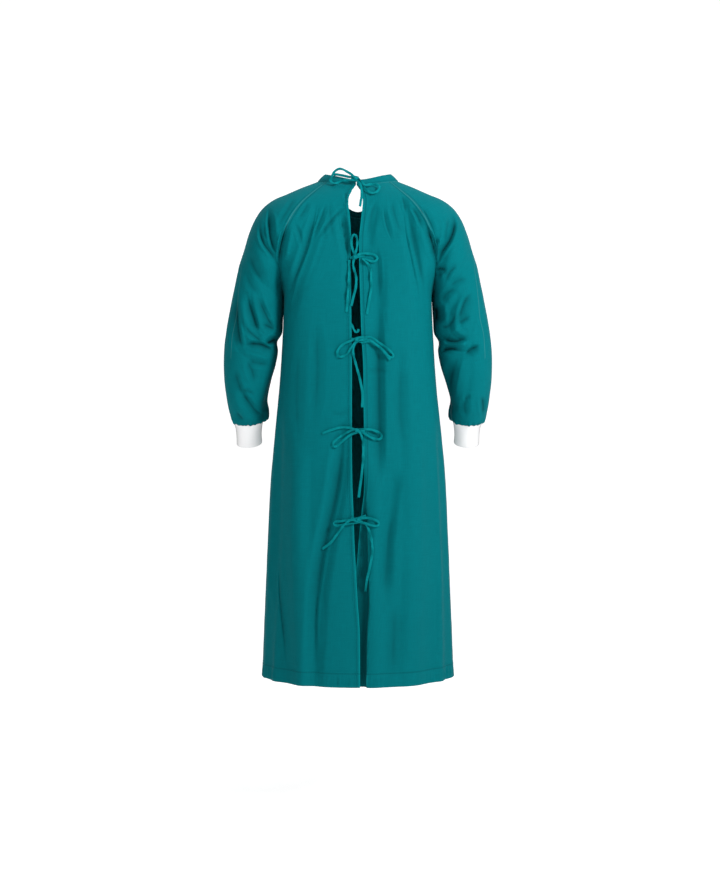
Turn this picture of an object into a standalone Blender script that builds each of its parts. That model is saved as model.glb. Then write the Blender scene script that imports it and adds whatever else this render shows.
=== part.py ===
"""A surgical gown as it hangs on the shoulders: one front, two backs, raglan sleeves, a neck band,
rib-knit cuffs, and the tape ties down the back opening. Every piece is one closed faceted solid.

Metres, +Z up. The back faces -Y and +X is the wearer's right. The origin is the middle of the neck
opening, level with the shoulders."""

import math
from collections import namedtuple

import bpy
import numpy as np
from mathutils import Vector
from mathutils.bvhtree import BVHTree

# Cloth
WALL = 0.0020
CUFF_WALL = 0.0024
SEAM_INSET = 0.00016
CREASE_INSET = 0.00030
SEAM_BLEND = 0.45
YOKE_HANDLE = 0.36
BULGE_LIMIT = 0.92

# How finely each piece is cut into rows and columns
YOKE_STEPS = 8
SKIRT_STEPS = 14
SLEEVE_STEPS = 14
EDGE_COLUMNS = 3
BACK_COLUMNS = 10
FRONT_COLUMNS = 11
SLEEVE_HALF_COLUMNS = 10
BAND_ROWS = 2
CUFF_ROWS = 3

# The rows of the yoke run from the neckline, row 0, to the armpit, row 8. Each one crosses the back to
# the back raglan seam, goes over the sleeve's ridge to the front raglan seam, and crosses the chest.
# turn is how far the sleeve has rolled under at its seam and tuck how far the body has, in degrees.
YokeRow = namedtuple(
    "YokeRow",
    "ridge_x ridge_z back_x back_y back_z front_x front_y front_z "
    "mid_back_y mid_back_z mid_front_y mid_front_z turn tuck reach",
)
YOKE = (
    YokeRow(.099, .002, .078, -.050, -.006, .074, .053, -.026, -.078, -.018, .078, -.075, -50, 50, .078),
    YokeRow(.134, -.012, .105, -.079, -.032, .096, .075, -.054, -.098, -.045, .093, -.100, -36, 36, .096),
    YokeRow(.170, -.028, .131, -.100, -.059, .116, .092, -.085, -.108, -.075, .105, -.125, -22, 22, .106),
    YokeRow(.205, -.043, .152, -.112, -.088, .134, .102, -.120, -.115, -.108, .113, -.150, -10, 10, .110),
    YokeRow(.232, -.064, .168, -.117, -.118, .148, .107, -.155, -.122, -.143, .119, -.178, 0, 2, .110),
    YokeRow(.252, -.093, .179, -.114, -.150, .159, .106, -.190, -.126, -.180, .123, -.205, 12, 6, .105),
    YokeRow(.266, -.128, .185, -.100, -.185, .168, .095, -.222, -.128, -.217, .125, -.232, 32, 22, .096),
    YokeRow(.277, -.165, .186, -.068, -.228, .175, .066, -.256, -.130, -.255, .125, -.262, 62, 52, .086),
    YokeRow(.290, -.205, .180, .000, -.290, .180, .000, -.290, -.130, -.290, .125, -.290, 90, 90, .077),
)
ARMPIT = len(YOKE) - 1

# Below the armpit the body is a ring at each height, wider and deeper down to the hem. fullness is how
# square the ring is: an ellipse has .55.
SkirtRow = namedtuple("SkirtRow", "height half_width back_depth front_depth fullness")
SKIRT = (
    SkirtRow(-.290, .1800, .130, .125, .84),
    SkirtRow(-.366, .1830, .132, .130, .80),
    SkirtRow(-.480, .1900, .137, .139, .74),
    SkirtRow(-.600, .2015, .144, .149, .69),
    SkirtRow(-.720, .2120, .152, .158, .65),
    SkirtRow(-.840, .2180, .161, .167, .63),
    SkirtRow(-.960, .2235, .169, .176, .62),
    SkirtRow(-1.080, .2285, .176, .184, .61),
    SkirtRow(-1.204, .2330, .182, .190, .60),
)

# Sleeve rings from the armpit to the cuff: the outer and inner sides, how far each reaches front and
# back of its middle, where that middle is, and the forward lean of the ring in degrees.
SleeveRow = namedtuple("SleeveRow", "ridge_x ridge_z inner_x inner_z reach middle_y lean")
SLEEVE = (
    SleeveRow(.2900, -.205, .1800, -.290, .077, .000, 0),
    SleeveRow(.3055, -.280, .1836, -.335, .077, -.003, 0),
    SleeveRow(.3177, -.345, .1853, -.373, .075, -.008, 0),
    SleeveRow(.3245, -.400, .1985, -.409, .071, -.009, 1),
    SleeveRow(.3270, -.450, .2050, -.455, .066, -.001, 6),
    SleeveRow(.3260, -.490, .2135, -.490, .061, .009, 11),
    SleeveRow(.3205, -.533, .2215, -.531, .055, .020, 16),
    SleeveRow(.3150, -.561, .2245, -.559, .048, .029, 20),
    SleeveRow(.3060, -.578, .2310, -.576, .040, .034, 20),
)
CUFF = (
    SleeveRow(.3060, -.578, .2310, -.576, .040, .034, 20),
    SleeveRow(.3030, -.597, .2325, -.594, .039, .0405, 20),
    SleeveRow(.2990, -.616, .2335, -.613, .037, .047, 20),
    SleeveRow(.2955, -.636, .2340, -.633, .035, .054, 20),
)

# The back opening: where each panel's free edge and the crest of its edge fold lie at each height.
# Low down the right panel dips in past its crest and runs on under the left one.
EdgeRow = namedtuple("EdgeRow", "height left_edge left_crest right_edge right_crest dip")
EDGES = (
    EdgeRow(-.018, -.0048, -.016, -.0032, .008, 0),
    EdgeRow(-.032, -.0140, -.028, .0060, .018, 0),
    EdgeRow(-.058, -.0225, -.036, .0115, .026, 0),
    EdgeRow(-.100, -.0190, -.032, .0080, .022, 0),
    EdgeRow(-.146, -.0165, -.029, .0035, .018, 0),
    EdgeRow(-.196, -.0170, -.029, .0030, .017, 0),
    EdgeRow(-.290, -.0160, -.028, .0055, .020, 0),
    EdgeRow(-.370, -.0150, -.027, .0080, .022, 0),
    EdgeRow(-.450, -.0140, -.026, .0125, .026, 0),
    EdgeRow(-.545, -.0140, -.026, .0135, .028, 0),
    EdgeRow(-.660, -.0140, -.026, .0150, .028, 0),
    EdgeRow(-.745, -.0125, -.024, .0145, .028, .004),
    EdgeRow(-.803, -.0100, -.022, .0080, .029, .012),
    EdgeRow(-.852, -.0085, -.020, .0030, .031, .016),
    EdgeRow(-.922, -.0050, -.018, -.0030, .033, .017),
    EdgeRow(-1.014, .0000, -.014, -.0140, .035, .018),
    EdgeRow(-1.068, .0040, -.010, -.0200, .031, .018),
    EdgeRow(-1.155, .0050, -.009, -.0300, .029, .018),
    EdgeRow(-1.210, .0050, -.009, -.0350, .029, .018),
)
DIP_WIDTH = .026
DIPPED = .0015

# The neck band leans in and up from the neckline.
BAND_NARROWING = .82
BAND_SHALLOWING = .88
BAND_SIDE_RISE = .0185
BAND_MIDDLE_RISE = .0150
BAND_SWELL = .0015

# Folds: the face they are seen from, the depth of the trough (less than nothing for a ridge), the half
# width, and the line they follow as (sideways, height). On a side face sideways is Y.
Fold = namedtuple("Fold", "face depth width line")
FOLDS = (
    Fold("back", .0085, .028, ((.047, -.170), (.052, -.368), (.057, -.581), (.054, -.745))),
    Fold("back", .0105, .026, ((.087, -.690), (.075, -.782), (.064, -.870), (.059, -1.000))),
    Fold("back", -.0070, .030, ((.032, -.600), (.042, -.800), (.040, -.980), (.036, -1.330))),
    Fold("back", .0120, .030, ((-.030, -.560), (-.053, -.768), (-.080, -.903), (-.100, -1.060), (-.108, -1.290))),
    Fold("back", .0065, .018, ((-.045, -.075), (-.030, -.165), (-.021, -.215), (-.028, -.300))),
    Fold("back", .0065, .022, ((-.089, -.061), (-.112, -.163), (-.140, -.245), (-.166, -.335))),
    Fold("back", .0065, .022, ((.104, -.045), (.121, -.146), (.143, -.258), (.168, -.360))),
    Fold("back", .0040, .018, ((.048, -.070), (.031, -.126), (.024, -.185))),
    Fold("back", .0120, .034, ((-.180, -.560), (-.188, -.850), (-.178, -1.070), (-.165, -1.330))),
    Fold("back", -.0080, .034, ((-.140, -.600), (-.142, -.850), (-.132, -1.050), (-.128, -1.330))),
    Fold("back", -.0070, .032, ((.120, -.360), (.130, -.600), (.132, -.850), (.120, -1.330))),
    Fold("back", .0110, .032, ((.172, -.560), (.180, -.860), (.174, -1.100), (.170, -1.330))),
    Fold("front", .0120, .036, ((.058, -.200), (.066, -.480), (.078, -.800), (.094, -1.330))),
    Fold("front", .0110, .034, ((-.066, -.240), (-.060, -.500), (-.072, -.860), (-.060, -1.330))),
    Fold("front", -.0090, .036, ((.004, -.420), (-.004, -.840), (.006, -1.330))),
    Fold("front", .0120, .034, ((-.148, -.560), (-.158, -.900), (-.150, -1.330))),
    Fold("front", .0110, .034, ((.156, -.620), (.164, -.940), (.158, -1.330))),
    Fold("front", -.0070, .034, ((-.112, -.440), (-.116, -.800), (-.106, -1.330))),
    Fold("front", .0065, .024, ((.096, -.080), (.112, -.180), (.140, -.300), (.164, -.380))),
    Fold("front", .0065, .024, ((-.094, -.085), (-.116, -.200), (-.146, -.330), (-.166, -.400))),
    Fold("front", .0050, .020, ((-.050, -.105), (.000, -.122), (.050, -.105))),
    Fold("left", .0080, .034, ((.030, -.440), (.050, -.800), (.040, -1.330))),
    Fold("left", .0070, .030, ((-.060, -.500), (-.080, -.900), (-.070, -1.330))),
    Fold("right", .0080, .034, ((.045, -.480), (.065, -.860), (.055, -1.330))),
    Fold("right", .0070, .030, ((-.050, -.560), (-.060, -.950), (-.080, -1.330))),
    Fold("back", .0070, .020, ((-.216, -.073), (-.205, -.150), (-.190, -.215), (-.180, -.280))),
    Fold("back", .0060, .020, ((-.263, -.280), (-.244, -.345), (-.232, -.392))),
    Fold("back", .0065, .020, ((-.292, -.398), (-.245, -.406), (-.203, -.420))),
    Fold("back", .0050, .020, ((-.280, -.500), (-.256, -.540), (-.226, -.572))),
    Fold("back", .0070, .020, ((.228, -.075), (.216, -.150), (.188, -.215))),
    Fold("back", .0060, .020, ((.252, -.280), (.212, -.312), (.196, -.350))),
    Fold("back", .0080, .024, ((.196, -.402), (.240, -.414), (.288, -.404))),
    Fold("back", .0065, .020, ((.208, -.440), (.220, -.500), (.226, -.560))),
    Fold("front", .0065, .020, ((.214, -.110), (.206, -.190), (.190, -.260))),
    Fold("front", .0065, .020, ((-.220, -.120), (-.204, -.200), (-.190, -.270))),
    Fold("front", .0085, .022, ((.206, -.415), (.250, -.400), (.300, -.412))),
    Fold("front", .0085, .022, ((-.210, -.400), (-.255, -.412), (-.302, -.398))),
    Fold("front", .0060, .020, ((.216, -.455), (.256, -.446), (.290, -.462))),
    Fold("front", .0060, .020, ((-.222, -.450), (-.262, -.462), (-.294, -.446))),
)
FACE_SOFTNESS = .045
SIDE_FROM = .10
FOLD_FADE = .22

# Tape ties, each laid flat along its route of (x, z) points: over the cloth, over the ties before it in
# the list, and over its own earlier turns.
TIE_WIDTH = .0062
TIE_THICKNESS = .0014
TIE_CLEARANCE = .0007
TIE_SEATING = .0003
TIE_FOOT = .0036
TIE_CROSSING = .0080
TIE_OWN_TURN = .0150
TIE_SLOPE = .35
TIE_SAMPLE = .0015
TIE_STEP = .0060
TIE_TURN_ROOM = .62
INNER_TIE_BACK = .0030
DROP_STEP = .0030
ABOVE_NECK_Y = -.070
Tie = namedtuple("Tie", "name route")
TIES = (
    Tie("tie_1_left", (
        (-.018, -.006), (-.011, -.003), (-.003, -.006), (.009, -.020), (.017, -.029),
        (.025, -.037), (.035, -.041), (.046, -.036), (.052, -.026), (.047, -.0195),
        (.037, -.0175), (.027, -.0185), (.017, -.0205), (.007, -.011), (-.004, .000),
        (-.019, .001), (-.037, .006), (-.051, .0095), (-.058, .0098),
    )),
    Tie("tie_1_right", (
        (.002, -.002), (-.006, -.002), (-.012, .003), (-.020, .010), (-.041, .022),
        (-.055, .017), (-.063, .003), (-.065, -.008), (-.055, -.014), (-.037, -.008),
        (-.018, -.007), (-.006, -.008), (.003, -.015), (.008, -.026), (.009, -.046),
        (.007, -.060), (.005, -.074),
    )),
    Tie("tie_2_left", (
        (-.019, -.198), (-.013, -.1965), (-.008, -.190), (-.014, -.172), (-.015, -.153),
        (-.0085, -.142), (-.002, -.153), (-.002, -.172), (-.007, -.190),
        (-.010, -.203), (-.011, -.216), (-.008, -.229), (-.004, -.246), (-.005, -.268),
        (-.010, -.288), (-.016, -.312),
    )),
    Tie("tie_2_right", (
        (.016, -.192), (.006, -.194), (-.007, -.197), (.006, -.189), (.022, -.188),
        (.038, -.191), (.046, -.199), (.038, -.207), (.022, -.203), (.009, -.199),
        (.016, -.205), (.024, -.213), (.030, -.226), (.031, -.245), (.031, -.272),
        (.026, -.302), (.021, -.332),
    )),
    Tie("tie_2_spare", (
        (-.0205, -.203), (-.021, -.225), (-.022, -.258), (-.024, -.290), (-.027, -.326),
    )),
    Tie("tie_3_left", (
        (-.017, -.390), (-.009, -.3905), (.000, -.391), (.012, -.388), (.029, -.386),
        (.056, -.402), (.080, -.422), (.083, -.431), (.074, -.431), (.050, -.408),
        (.028, -.396), (.014, -.398), (.002, -.396), (-.008, -.403), (-.011, -.424),
        (-.004, -.452), (.006, -.490), (.011, -.522), (.010, -.551),
    )),
    Tie("tie_3_right", (
        (.014, -.386), (.008, -.3865), (-.001, -.388), (-.016, -.394), (-.034, -.402),
        (-.047, -.416), (-.048, -.427), (-.040, -.432), (-.026, -.425), (-.016, -.411),
        (-.004, -.397), (.012, -.392), (.030, -.394), (.056, -.413), (.076, -.439),
    )),
    Tie("tie_4_left", (
        (-.019, -.603), (-.012, -.604), (-.004, -.604), (.012, -.603), (.030, -.603),
        (.048, -.609), (.056, -.618), (.050, -.626), (.032, -.622), (.014, -.612),
        (.000, -.606), (-.016, -.600), (-.040, -.598), (-.062, -.604), (-.084, -.612),
    )),
    Tie("tie_4_right", (
        (.016, -.606), (.008, -.607), (-.002, -.609), (-.018, -.616), (-.036, -.630),
        (-.050, -.642), (-.058, -.642), (-.058, -.634), (-.044, -.622), (-.024, -.609),
        (-.006, -.603), (.005, -.611), (.011, -.626), (.0125, -.645), (.012, -.675),
        (.009, -.708), (.004, -.745), (.002, -.762),
    )),
    Tie("tie_5_right", (
        (.019, -.805), (.012, -.807), (.004, -.810), (-.010, -.813), (-.032, -.8165),
        (-.051, -.819), (-.057, -.823), (-.051, -.8275), (-.032, -.825), (-.012, -.8215),
        (.006, -.820), (.018, -.824), (.025, -.836), (.032, -.860), (.034, -.888),
        (.028, -.922), (.021, -.955), (.018, -.982),
    )),
    Tie("tie_5_left", (
        (-.017, -.812), (-.011, -.812), (-.003, -.812), (.012, -.810), (.028, -.810),
        (.044, -.816), (.050, -.823), (.043, -.828), (.026, -.825), (.012, -.820),
        (-.003, -.816), (-.018, -.815), (-.034, -.828), (-.050, -.850), (-.064, -.868),
        (-.084, -.884),
    )),
)
INNER_TIE = Tie("inner_tie", (
    (-.030, -.352), (-.020, -.352), (-.014, -.358), (-.009, -.368), (-.004, -.374),
    (.000, -.371), (.002, -.366),
))

# Finishes: base colour and roughness
TEAL = (.001, .168, .195, 1)
TIE_TEAL = (.002, .200, .225, 1)
RIB_WHITE = (.86, .86, .87, 1)
CLOTH_ROUGHNESS = .78
RIB_ROUGHNESS = .90

Sheet = namedtuple("Sheet", "name points quads")


def clear_scene():
    for thing in list(bpy.data.objects):
        bpy.data.objects.remove(thing)


def between(rows, place):
    """Every column of a table at a place between two of its rows, on a smooth curve through them."""
    table = np.array(rows, float)
    last = len(table) - 1
    place = min(max(place, 0.0), last)
    i = min(int(place), last - 1)
    f = place - i
    b, c = table[i], table[i + 1]
    a = table[i - 1] if i > 0 else 2 * b - c
    d = table[i + 2] if i + 2 <= last else 2 * c - b
    return b + .5 * f * (c - a + f * (2 * a - 5 * b + 4 * c - d + f * (3 * (b - c) + d - a)))


def row_at(kind, rows, place):
    return kind(*between(rows, place))


def ease(value):
    """0 below nothing, 1 above one, and smooth between."""
    value = np.clip(value, 0, 1)
    return value * value * (3 - 2 * value)


def unit(vector):
    return vector / max(np.linalg.norm(vector), 1e-12)


def bezier(corners, place):
    a, b, c, d = corners
    left = 1 - place
    return a * left**3 + 3 * b * left**2 * place + 3 * c * left * place**2 + d * place**3


def arc_handle(degrees):
    """How long a Bezier handle is, against the radius, for an arc through this angle."""
    return 4 / 3 * math.tan(math.radians(degrees) / 4)


def seam_direction(middle, seam, ridge):
    """Which way the cloth runs over a raglan seam: out from the body and up the sleeve."""
    up = unit(np.array((ridge[0] - seam[0], 0, ridge[2] - seam[2])))
    return unit(unit(seam - middle) + up)


def yoke_points(row, face):
    """(middle, seam, ridge) of a yoke row on the wearer's right, with its sign along Y."""
    ridge = np.array((row.ridge_x, 0, row.ridge_z))
    if face == "back":
        middle = np.array((0, row.mid_back_y, row.mid_back_z))
        return middle, np.array((row.back_x, row.back_y, row.back_z)), ridge, -1
    middle = np.array((0, row.mid_front_y, row.mid_front_z))
    return middle, np.array((row.front_x, row.front_y, row.front_z)), ridge, 1


def body_curve(place, face):
    """Corners of the curve from the middle of the back or front to its seam. Places past the armpit
    count rows of the skirt."""
    if place >= ARMPIT:
        row = row_at(SkirtRow, SKIRT, place - ARMPIT)
        depth = -row.back_depth if face == "back" else row.front_depth
        middle = np.array((0, depth, row.height))
        side = np.array((row.half_width, 0, row.height))
        return (
            middle,
            middle + np.array((row.fullness * row.half_width, 0, 0)),
            side + np.array((0, row.fullness * depth, 0)),
            side,
        )
    row = row_at(YokeRow, YOKE, place)
    middle, seam, ridge, sign = yoke_points(row, face)
    tuck = math.radians(row.tuck)
    run = seam_direction(middle, seam, ridge) * math.cos(tuck) - np.array((0, sign * math.sin(tuck), 0))
    chord = np.linalg.norm(seam - middle)
    low = ease((place - 3) / (ARMPIT - 3))
    depth = SKIRT[0].back_depth if face == "back" else SKIRT[0].front_depth
    start = (1 - low) * YOKE_HANDLE * chord + low * SKIRT[0].fullness * SKIRT[0].half_width
    end = (1 - low) * YOKE_HANDLE * chord + low * SKIRT[0].fullness * depth
    room = abs(middle[1]) - abs(seam[1])
    end = min(end, BULGE_LIMIT * room / max(abs(run[1]), .1))
    return middle, middle + np.array((start, 0, 0)), seam - end * run, seam


def sleeve_curve(place, face, rows=SLEEVE):
    """Corners of the curve from a sleeve's seam, or its inner side, out to its ridge."""
    sign = -1 if face == "back" else 1
    if place >= ARMPIT:
        row = row_at(SleeveRow, rows, place - ARMPIT)
        lean = math.radians(row.lean)
        reach = sign * row.reach * np.array((0, math.cos(lean), math.sin(lean)))
        inner = np.array((row.inner_x, row.middle_y, row.inner_z))
        ridge = np.array((row.ridge_x, row.middle_y, row.ridge_z))
        return inner, inner + 4 / 3 * reach, ridge + 4 / 3 * reach, ridge
    row = row_at(YokeRow, YOKE, place)
    middle, seam, ridge, sign = yoke_points(row, face)
    turn = math.radians(row.turn)
    sweep = 90 + row.turn
    across = math.hypot(ridge[0] - seam[0], ridge[2] - seam[2]) / (1 + math.sin(turn))
    handle = arc_handle(sweep)
    run = seam_direction(middle, seam, ridge) * math.cos(turn) + np.array((0, sign * math.sin(turn), 0))
    length = handle * math.hypot(across * math.cos(turn), row.reach * math.sin(turn))
    return seam, seam + length * run, ridge + np.array((0, sign * handle * row.reach, 0)), ridge


def place_across(curve, x):
    """How far along a back curve it reaches this far to the side. Past the middle it is mirrored."""
    low, high = 0.0, 1.0
    for _ in range(40):
        half = (low + high) / 2
        if bezier(curve, half)[0] < abs(x):
            low = half
        else:
            high = half
    return math.copysign(low, x)


def across_back(curve, place):
    point = bezier(curve, abs(place)).copy()
    if place < 0:
        point[0] = -point[0]
    return point


def edge_at(height):
    heights = [row.height for row in EDGES]
    place = np.interp(-height, [-h for h in heights], range(len(EDGES)))
    return row_at(EdgeRow, EDGES, place)


def fold_line(line, count=14):
    return np.array([between(line, (len(line) - 1) * i / (count - 1)) for i in range(count)])


def trough(flat, line, width):
    """How much of a fold's depth each flat point has: 1 on its line, and 0 at its width and its ends."""
    route = fold_line(line)
    best = np.full(len(flat), 9.0)
    along = np.zeros(len(flat))
    for i, (a, b) in enumerate(zip(route[:-1], route[1:])):
        run = b - a
        share = np.clip((flat - a) @ run / (run @ run), 0, 1)
        away = np.linalg.norm(flat - a - share[:, None] * run, axis=1)
        nearer = away < best
        best[nearer] = away[nearer]
        along[nearer] = (i + share[nearer]) / (len(route) - 1)
    cross = np.clip(1 - (best / width) ** 2, 0, 1) ** 2
    return cross * ease(along / FOLD_FADE + .15) * ease((1 - along) / FOLD_FADE + .15)


def folded(points, middle_y):
    """The points with every fold pressed into them. middle_y is the middle of the tube they are on."""
    moved = points.copy()
    for fold in FOLDS:
        if fold.face in ("back", "front"):
            sign = 1 if fold.face == "back" else -1
            flat = points[:, [0, 2]]
            facing = ease(-sign * (points[:, 1] - middle_y) / FACE_SOFTNESS)
            moved[:, 1] += sign * fold.depth * facing * trough(flat, fold.line, fold.width)
        else:
            sign = 1 if fold.face == "left" else -1
            flat = points[:, [1, 2]]
            facing = ease(-sign * points[:, 0] / SIDE_FROM - 1)
            moved[:, 0] += sign * fold.depth * facing * trough(flat, fold.line, fold.width)
    return moved


def mirrored(grid):
    """A grid on the wearer's left from one on the right, with its columns turned to keep it facing out."""
    turned = grid[:, ::-1].copy()
    turned[:, :, 0] *= -1
    return turned


def yoke_places():
    return [ARMPIT * i / YOKE_STEPS for i in range(YOKE_STEPS + 1)]


def body_places():
    skirt = len(SKIRT) - 1
    return yoke_places() + [ARMPIT + skirt * (i + 1) / SKIRT_STEPS for i in range(SKIRT_STEPS)]


def sleeve_places():
    arm = len(SLEEVE) - 1
    return yoke_places() + [ARMPIT + arm * (i + 1) / SLEEVE_STEPS for i in range(SLEEVE_STEPS)]


def back_grid(side):
    """One back panel as rows from its free edge to its seam, before its folds."""
    grid = []
    for place in body_places():
        curve = body_curve(place, "back")
        edge = edge_at(curve[0][2])
        free, crest = (edge.right_edge, edge.right_crest) if side > 0 else (-edge.left_edge, -edge.left_crest)
        start = place_across(curve, free)
        bend = place_across(curve, crest)
        steps = [start + (bend - start) * i / EDGE_COLUMNS for i in range(EDGE_COLUMNS)]
        steps += [bend + (1 - bend) * i / BACK_COLUMNS for i in range(BACK_COLUMNS + 1)]
        row = np.array([across_back(curve, step) for step in steps])
        if side > 0:
            row[:, 1] += edge.dip * ease((crest - row[:, 0]) / DIP_WIDTH)
        grid.append(row)
    return np.array(grid)


def front_grid():
    half = []
    for place in body_places():
        curve = body_curve(place, "front")
        half.append([bezier(curve, 1 - i / FRONT_COLUMNS) for i in range(FRONT_COLUMNS + 1)])
    half = np.array(half)
    return np.concatenate([half, mirrored(half)[:, 1:]], axis=1)


def sleeve_grid():
    """The right sleeve, from its back seam over the ridge to its front seam."""
    grid = []
    n = SLEEVE_HALF_COLUMNS
    for place in sleeve_places():
        back = sleeve_curve(place, "back")
        front = sleeve_curve(place, "front")
        row = [bezier(back, i / n) for i in range(n + 1)]
        row += [bezier(front, 1 - (i + 1) / n) for i in range(n)]
        grid.append(row)
    return np.array(grid)


def cuff_grid():
    grid = []
    n = SLEEVE_HALF_COLUMNS
    for step in range(CUFF_ROWS + 1):
        place = ARMPIT + (len(CUFF) - 1) * step / CUFF_ROWS
        back = sleeve_curve(place, "back", CUFF)
        front = sleeve_curve(place, "front", CUFF)
        row = [bezier(back, i / n) for i in range(n + 1)]
        row += [bezier(front, 1 - (i + 1) / n) for i in range(n)]
        grid.append(row)
    return np.array(grid)


def band_grid(neckline):
    """The neck band, from the neckline up to its top edge."""
    side = np.clip(np.abs(neckline[:, 0]) / YOKE[0].ridge_x, 0, 1)
    rise = BAND_MIDDLE_RISE + (BAND_SIDE_RISE - BAND_MIDDLE_RISE) * ease(side)
    top = neckline * np.array((BAND_NARROWING, BAND_SHALLOWING, 1))
    top[:, 2] += rise
    grid = []
    for i in range(BAND_ROWS + 1):
        share = i / BAND_ROWS
        swell = BAND_SWELL * 4 * share * (1 - share)
        row = neckline + (top - neckline) * share
        row[:, :2] *= 1 + swell / np.linalg.norm(row[:, :2], axis=1)[:, None]
        grid.append(row)
    return np.array(grid)


def sheet_of(name, grid, closed_from=None):
    """A sheet from a grid. From the row closed_from on, the last column is the first one again."""
    rows, columns = grid.shape[:2]
    index = np.arange(rows * columns).reshape(rows, columns)
    if closed_from is not None:
        index[closed_from:, -1] = index[closed_from:, 0]
    used, packed = np.unique(index, return_inverse=True)
    packed = packed.reshape(rows, columns)
    points = grid.reshape(-1, 3)[used]
    quads = []
    for i in range(rows - 1):
        for j in range(columns - 1):
            quad = (packed[i, j], packed[i + 1, j], packed[i + 1, j + 1], packed[i, j + 1])
            quads.append(quad)
    return Sheet(name, points, quads)


def quad_normals(points, quads):
    corners = points[np.array(quads)]
    return np.cross(corners[:, 2] - corners[:, 0], corners[:, 3] - corners[:, 1])


def point_normals(sheet):
    normals = np.zeros_like(sheet.points)
    for quad, normal in zip(sheet.quads, quad_normals(sheet.points, sheet.quads)):
        for corner in set(quad):
            normals[corner] += normal
    return normals / np.linalg.norm(normals, axis=1)[:, None]


def rim_edges(sheet):
    """Directed edges that only one quad has."""
    seen = {}
    for quad in sheet.quads:
        for a, b in zip(quad, quad[1:] + quad[:1]):
            if a != b:
                seen[(a, b)] = seen.get((a, b), 0) + 1
    return [edge for edge in seen if (edge[1], edge[0]) not in seen]


def split(quad):
    """A quad as triangles, always along the same diagonal."""
    a, b, c, d = (int(corner) for corner in quad)
    return [corners for corners in ((a, b, c), (a, c, d)) if len(set(corners)) == 3]


def seam_key(point):
    return tuple(np.round(point * 1e6).astype(int))


def shared_normals(sheets):
    """Normals of every sheet, made one where two sheets meet smoothly, and the points at a crease."""
    normals = {sheet.name: point_normals(sheet) for sheet in sheets}
    meeting = {}
    for sheet in sheets:
        for corner in {a for a, _ in rim_edges(sheet)}:
            meeting.setdefault(seam_key(sheet.points[corner]), []).append((sheet.name, corner))
    creased = {sheet.name: set() for sheet in sheets}
    for group in meeting.values():
        own = [(name, corner, normals[name][corner].copy()) for name, corner in group]
        for name, corner, normal in own:
            near = [other for _, _, other in own if other @ normal > SEAM_BLEND]
            normals[name][corner] = unit(sum(near))
            if len(near) < len(own):
                creased[name].add(corner)
    return normals, creased


def rim_shift(sheet, normals, creased):
    """How far each rim point moves in, so that sewn pieces stay clear of each other."""
    towards = np.zeros_like(sheet.points)
    for a, b in rim_edges(sheet):
        run = sheet.points[b] - sheet.points[a]
        for corner in (a, b):
            towards[corner] += unit(np.cross(normals[corner], run))
    shift = np.zeros_like(sheet.points)
    for corner in {a for a, _ in rim_edges(sheet)}:
        shift[corner] = SEAM_INSET * 1.25 * unit(towards[corner])
        if corner in creased:
            shift[corner] -= CREASE_INSET * normals[corner]
    return shift


def new_material(name, colour, roughness):
    material = bpy.data.materials.new(name)
    material.use_nodes = True
    shader = material.node_tree.nodes["Principled BSDF"]
    shader.inputs["Base Color"].default_value = colour
    shader.inputs["Roughness"].default_value = roughness
    shader.inputs["Metallic"].default_value = 0
    material.diffuse_color = colour
    return material


def new_object(name, points, faces, finish, collection):
    mesh = bpy.data.meshes.new(name)
    mesh.from_pydata([tuple(point) for point in points], [], faces)
    mesh.validate()
    mesh.update()
    mesh.materials.append(new_material(name, *finish))
    made = bpy.data.objects.new(name, mesh)
    collection.objects.link(made)
    return made


def add_wall(sheet, normals, creased, thickness, finish, collection):
    """A sheet given its thickness inwards, with its rims closed."""
    outer = sheet.points + rim_shift(sheet, normals, creased)
    inner = outer - thickness * normals
    count = len(outer)
    faces = []
    for quad in sheet.quads:
        for a, b, c in split(quad):
            faces += [(a, b, c), (c + count, b + count, a + count)]
    for a, b in rim_edges(sheet):
        faces.append([int(b), int(a), int(a) + count, int(b) + count])
    return new_object(sheet.name, np.concatenate([outer, inner]), faces, finish, collection)


def resting_surface(left, right):
    """The outside of the backs, with the opening between their edges bridged, for the ties to lie on."""
    right = right.copy()
    for row in right:
        inside = row[:, 1] > row[EDGE_COLUMNS, 1] + DIPPED
        inside[EDGE_COLUMNS:] = False
        row[inside] = row[EDGE_COLUMNS]
    joined = np.concatenate([left, right], axis=1)
    rows, columns = joined.shape[:2]
    faces = []
    for i in range(rows - 1):
        for j in range(columns - 1):
            corner = i * columns + j
            faces += split((corner, corner + columns, corner + columns + 1, corner + 1))
    return BVHTree.FromPolygons([Vector(point) for point in joined.reshape(-1, 3)], faces)


def rest_y(surface, x, z):
    """Where the cloth's outside is at this point of the back. Above the neck it stays at the neck's."""
    for drop in range(24):
        hit = surface.ray_cast(Vector((x, -1, z - DROP_STEP * drop)), Vector((0, 1, 0)))[0]
        if hit is not None:
            return hit.y
    return ABOVE_NECK_Y


def spaced(route, step):
    """(points, distances) along a smooth curve through the route, evenly spaced."""
    fine = np.array([between(route, (len(route) - 1) * i / 399) for i in range(400)])
    run = np.concatenate([[0], np.cumsum(np.linalg.norm(np.diff(fine, axis=0), axis=1))])
    stops = np.linspace(0, run[-1], max(6, round(run[-1] / step)) + 1)
    return np.stack([np.interp(stops, run, fine[:, i]) for i in range(2)], axis=1), stops


def cloth_under(surface, point):
    """The outermost cloth under a tie's foot."""
    offsets = (-TIE_FOOT, 0, TIE_FOOT)
    return min(rest_y(surface, point[0] + a, point[1] + b) for a in offsets for b in offsets)


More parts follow.
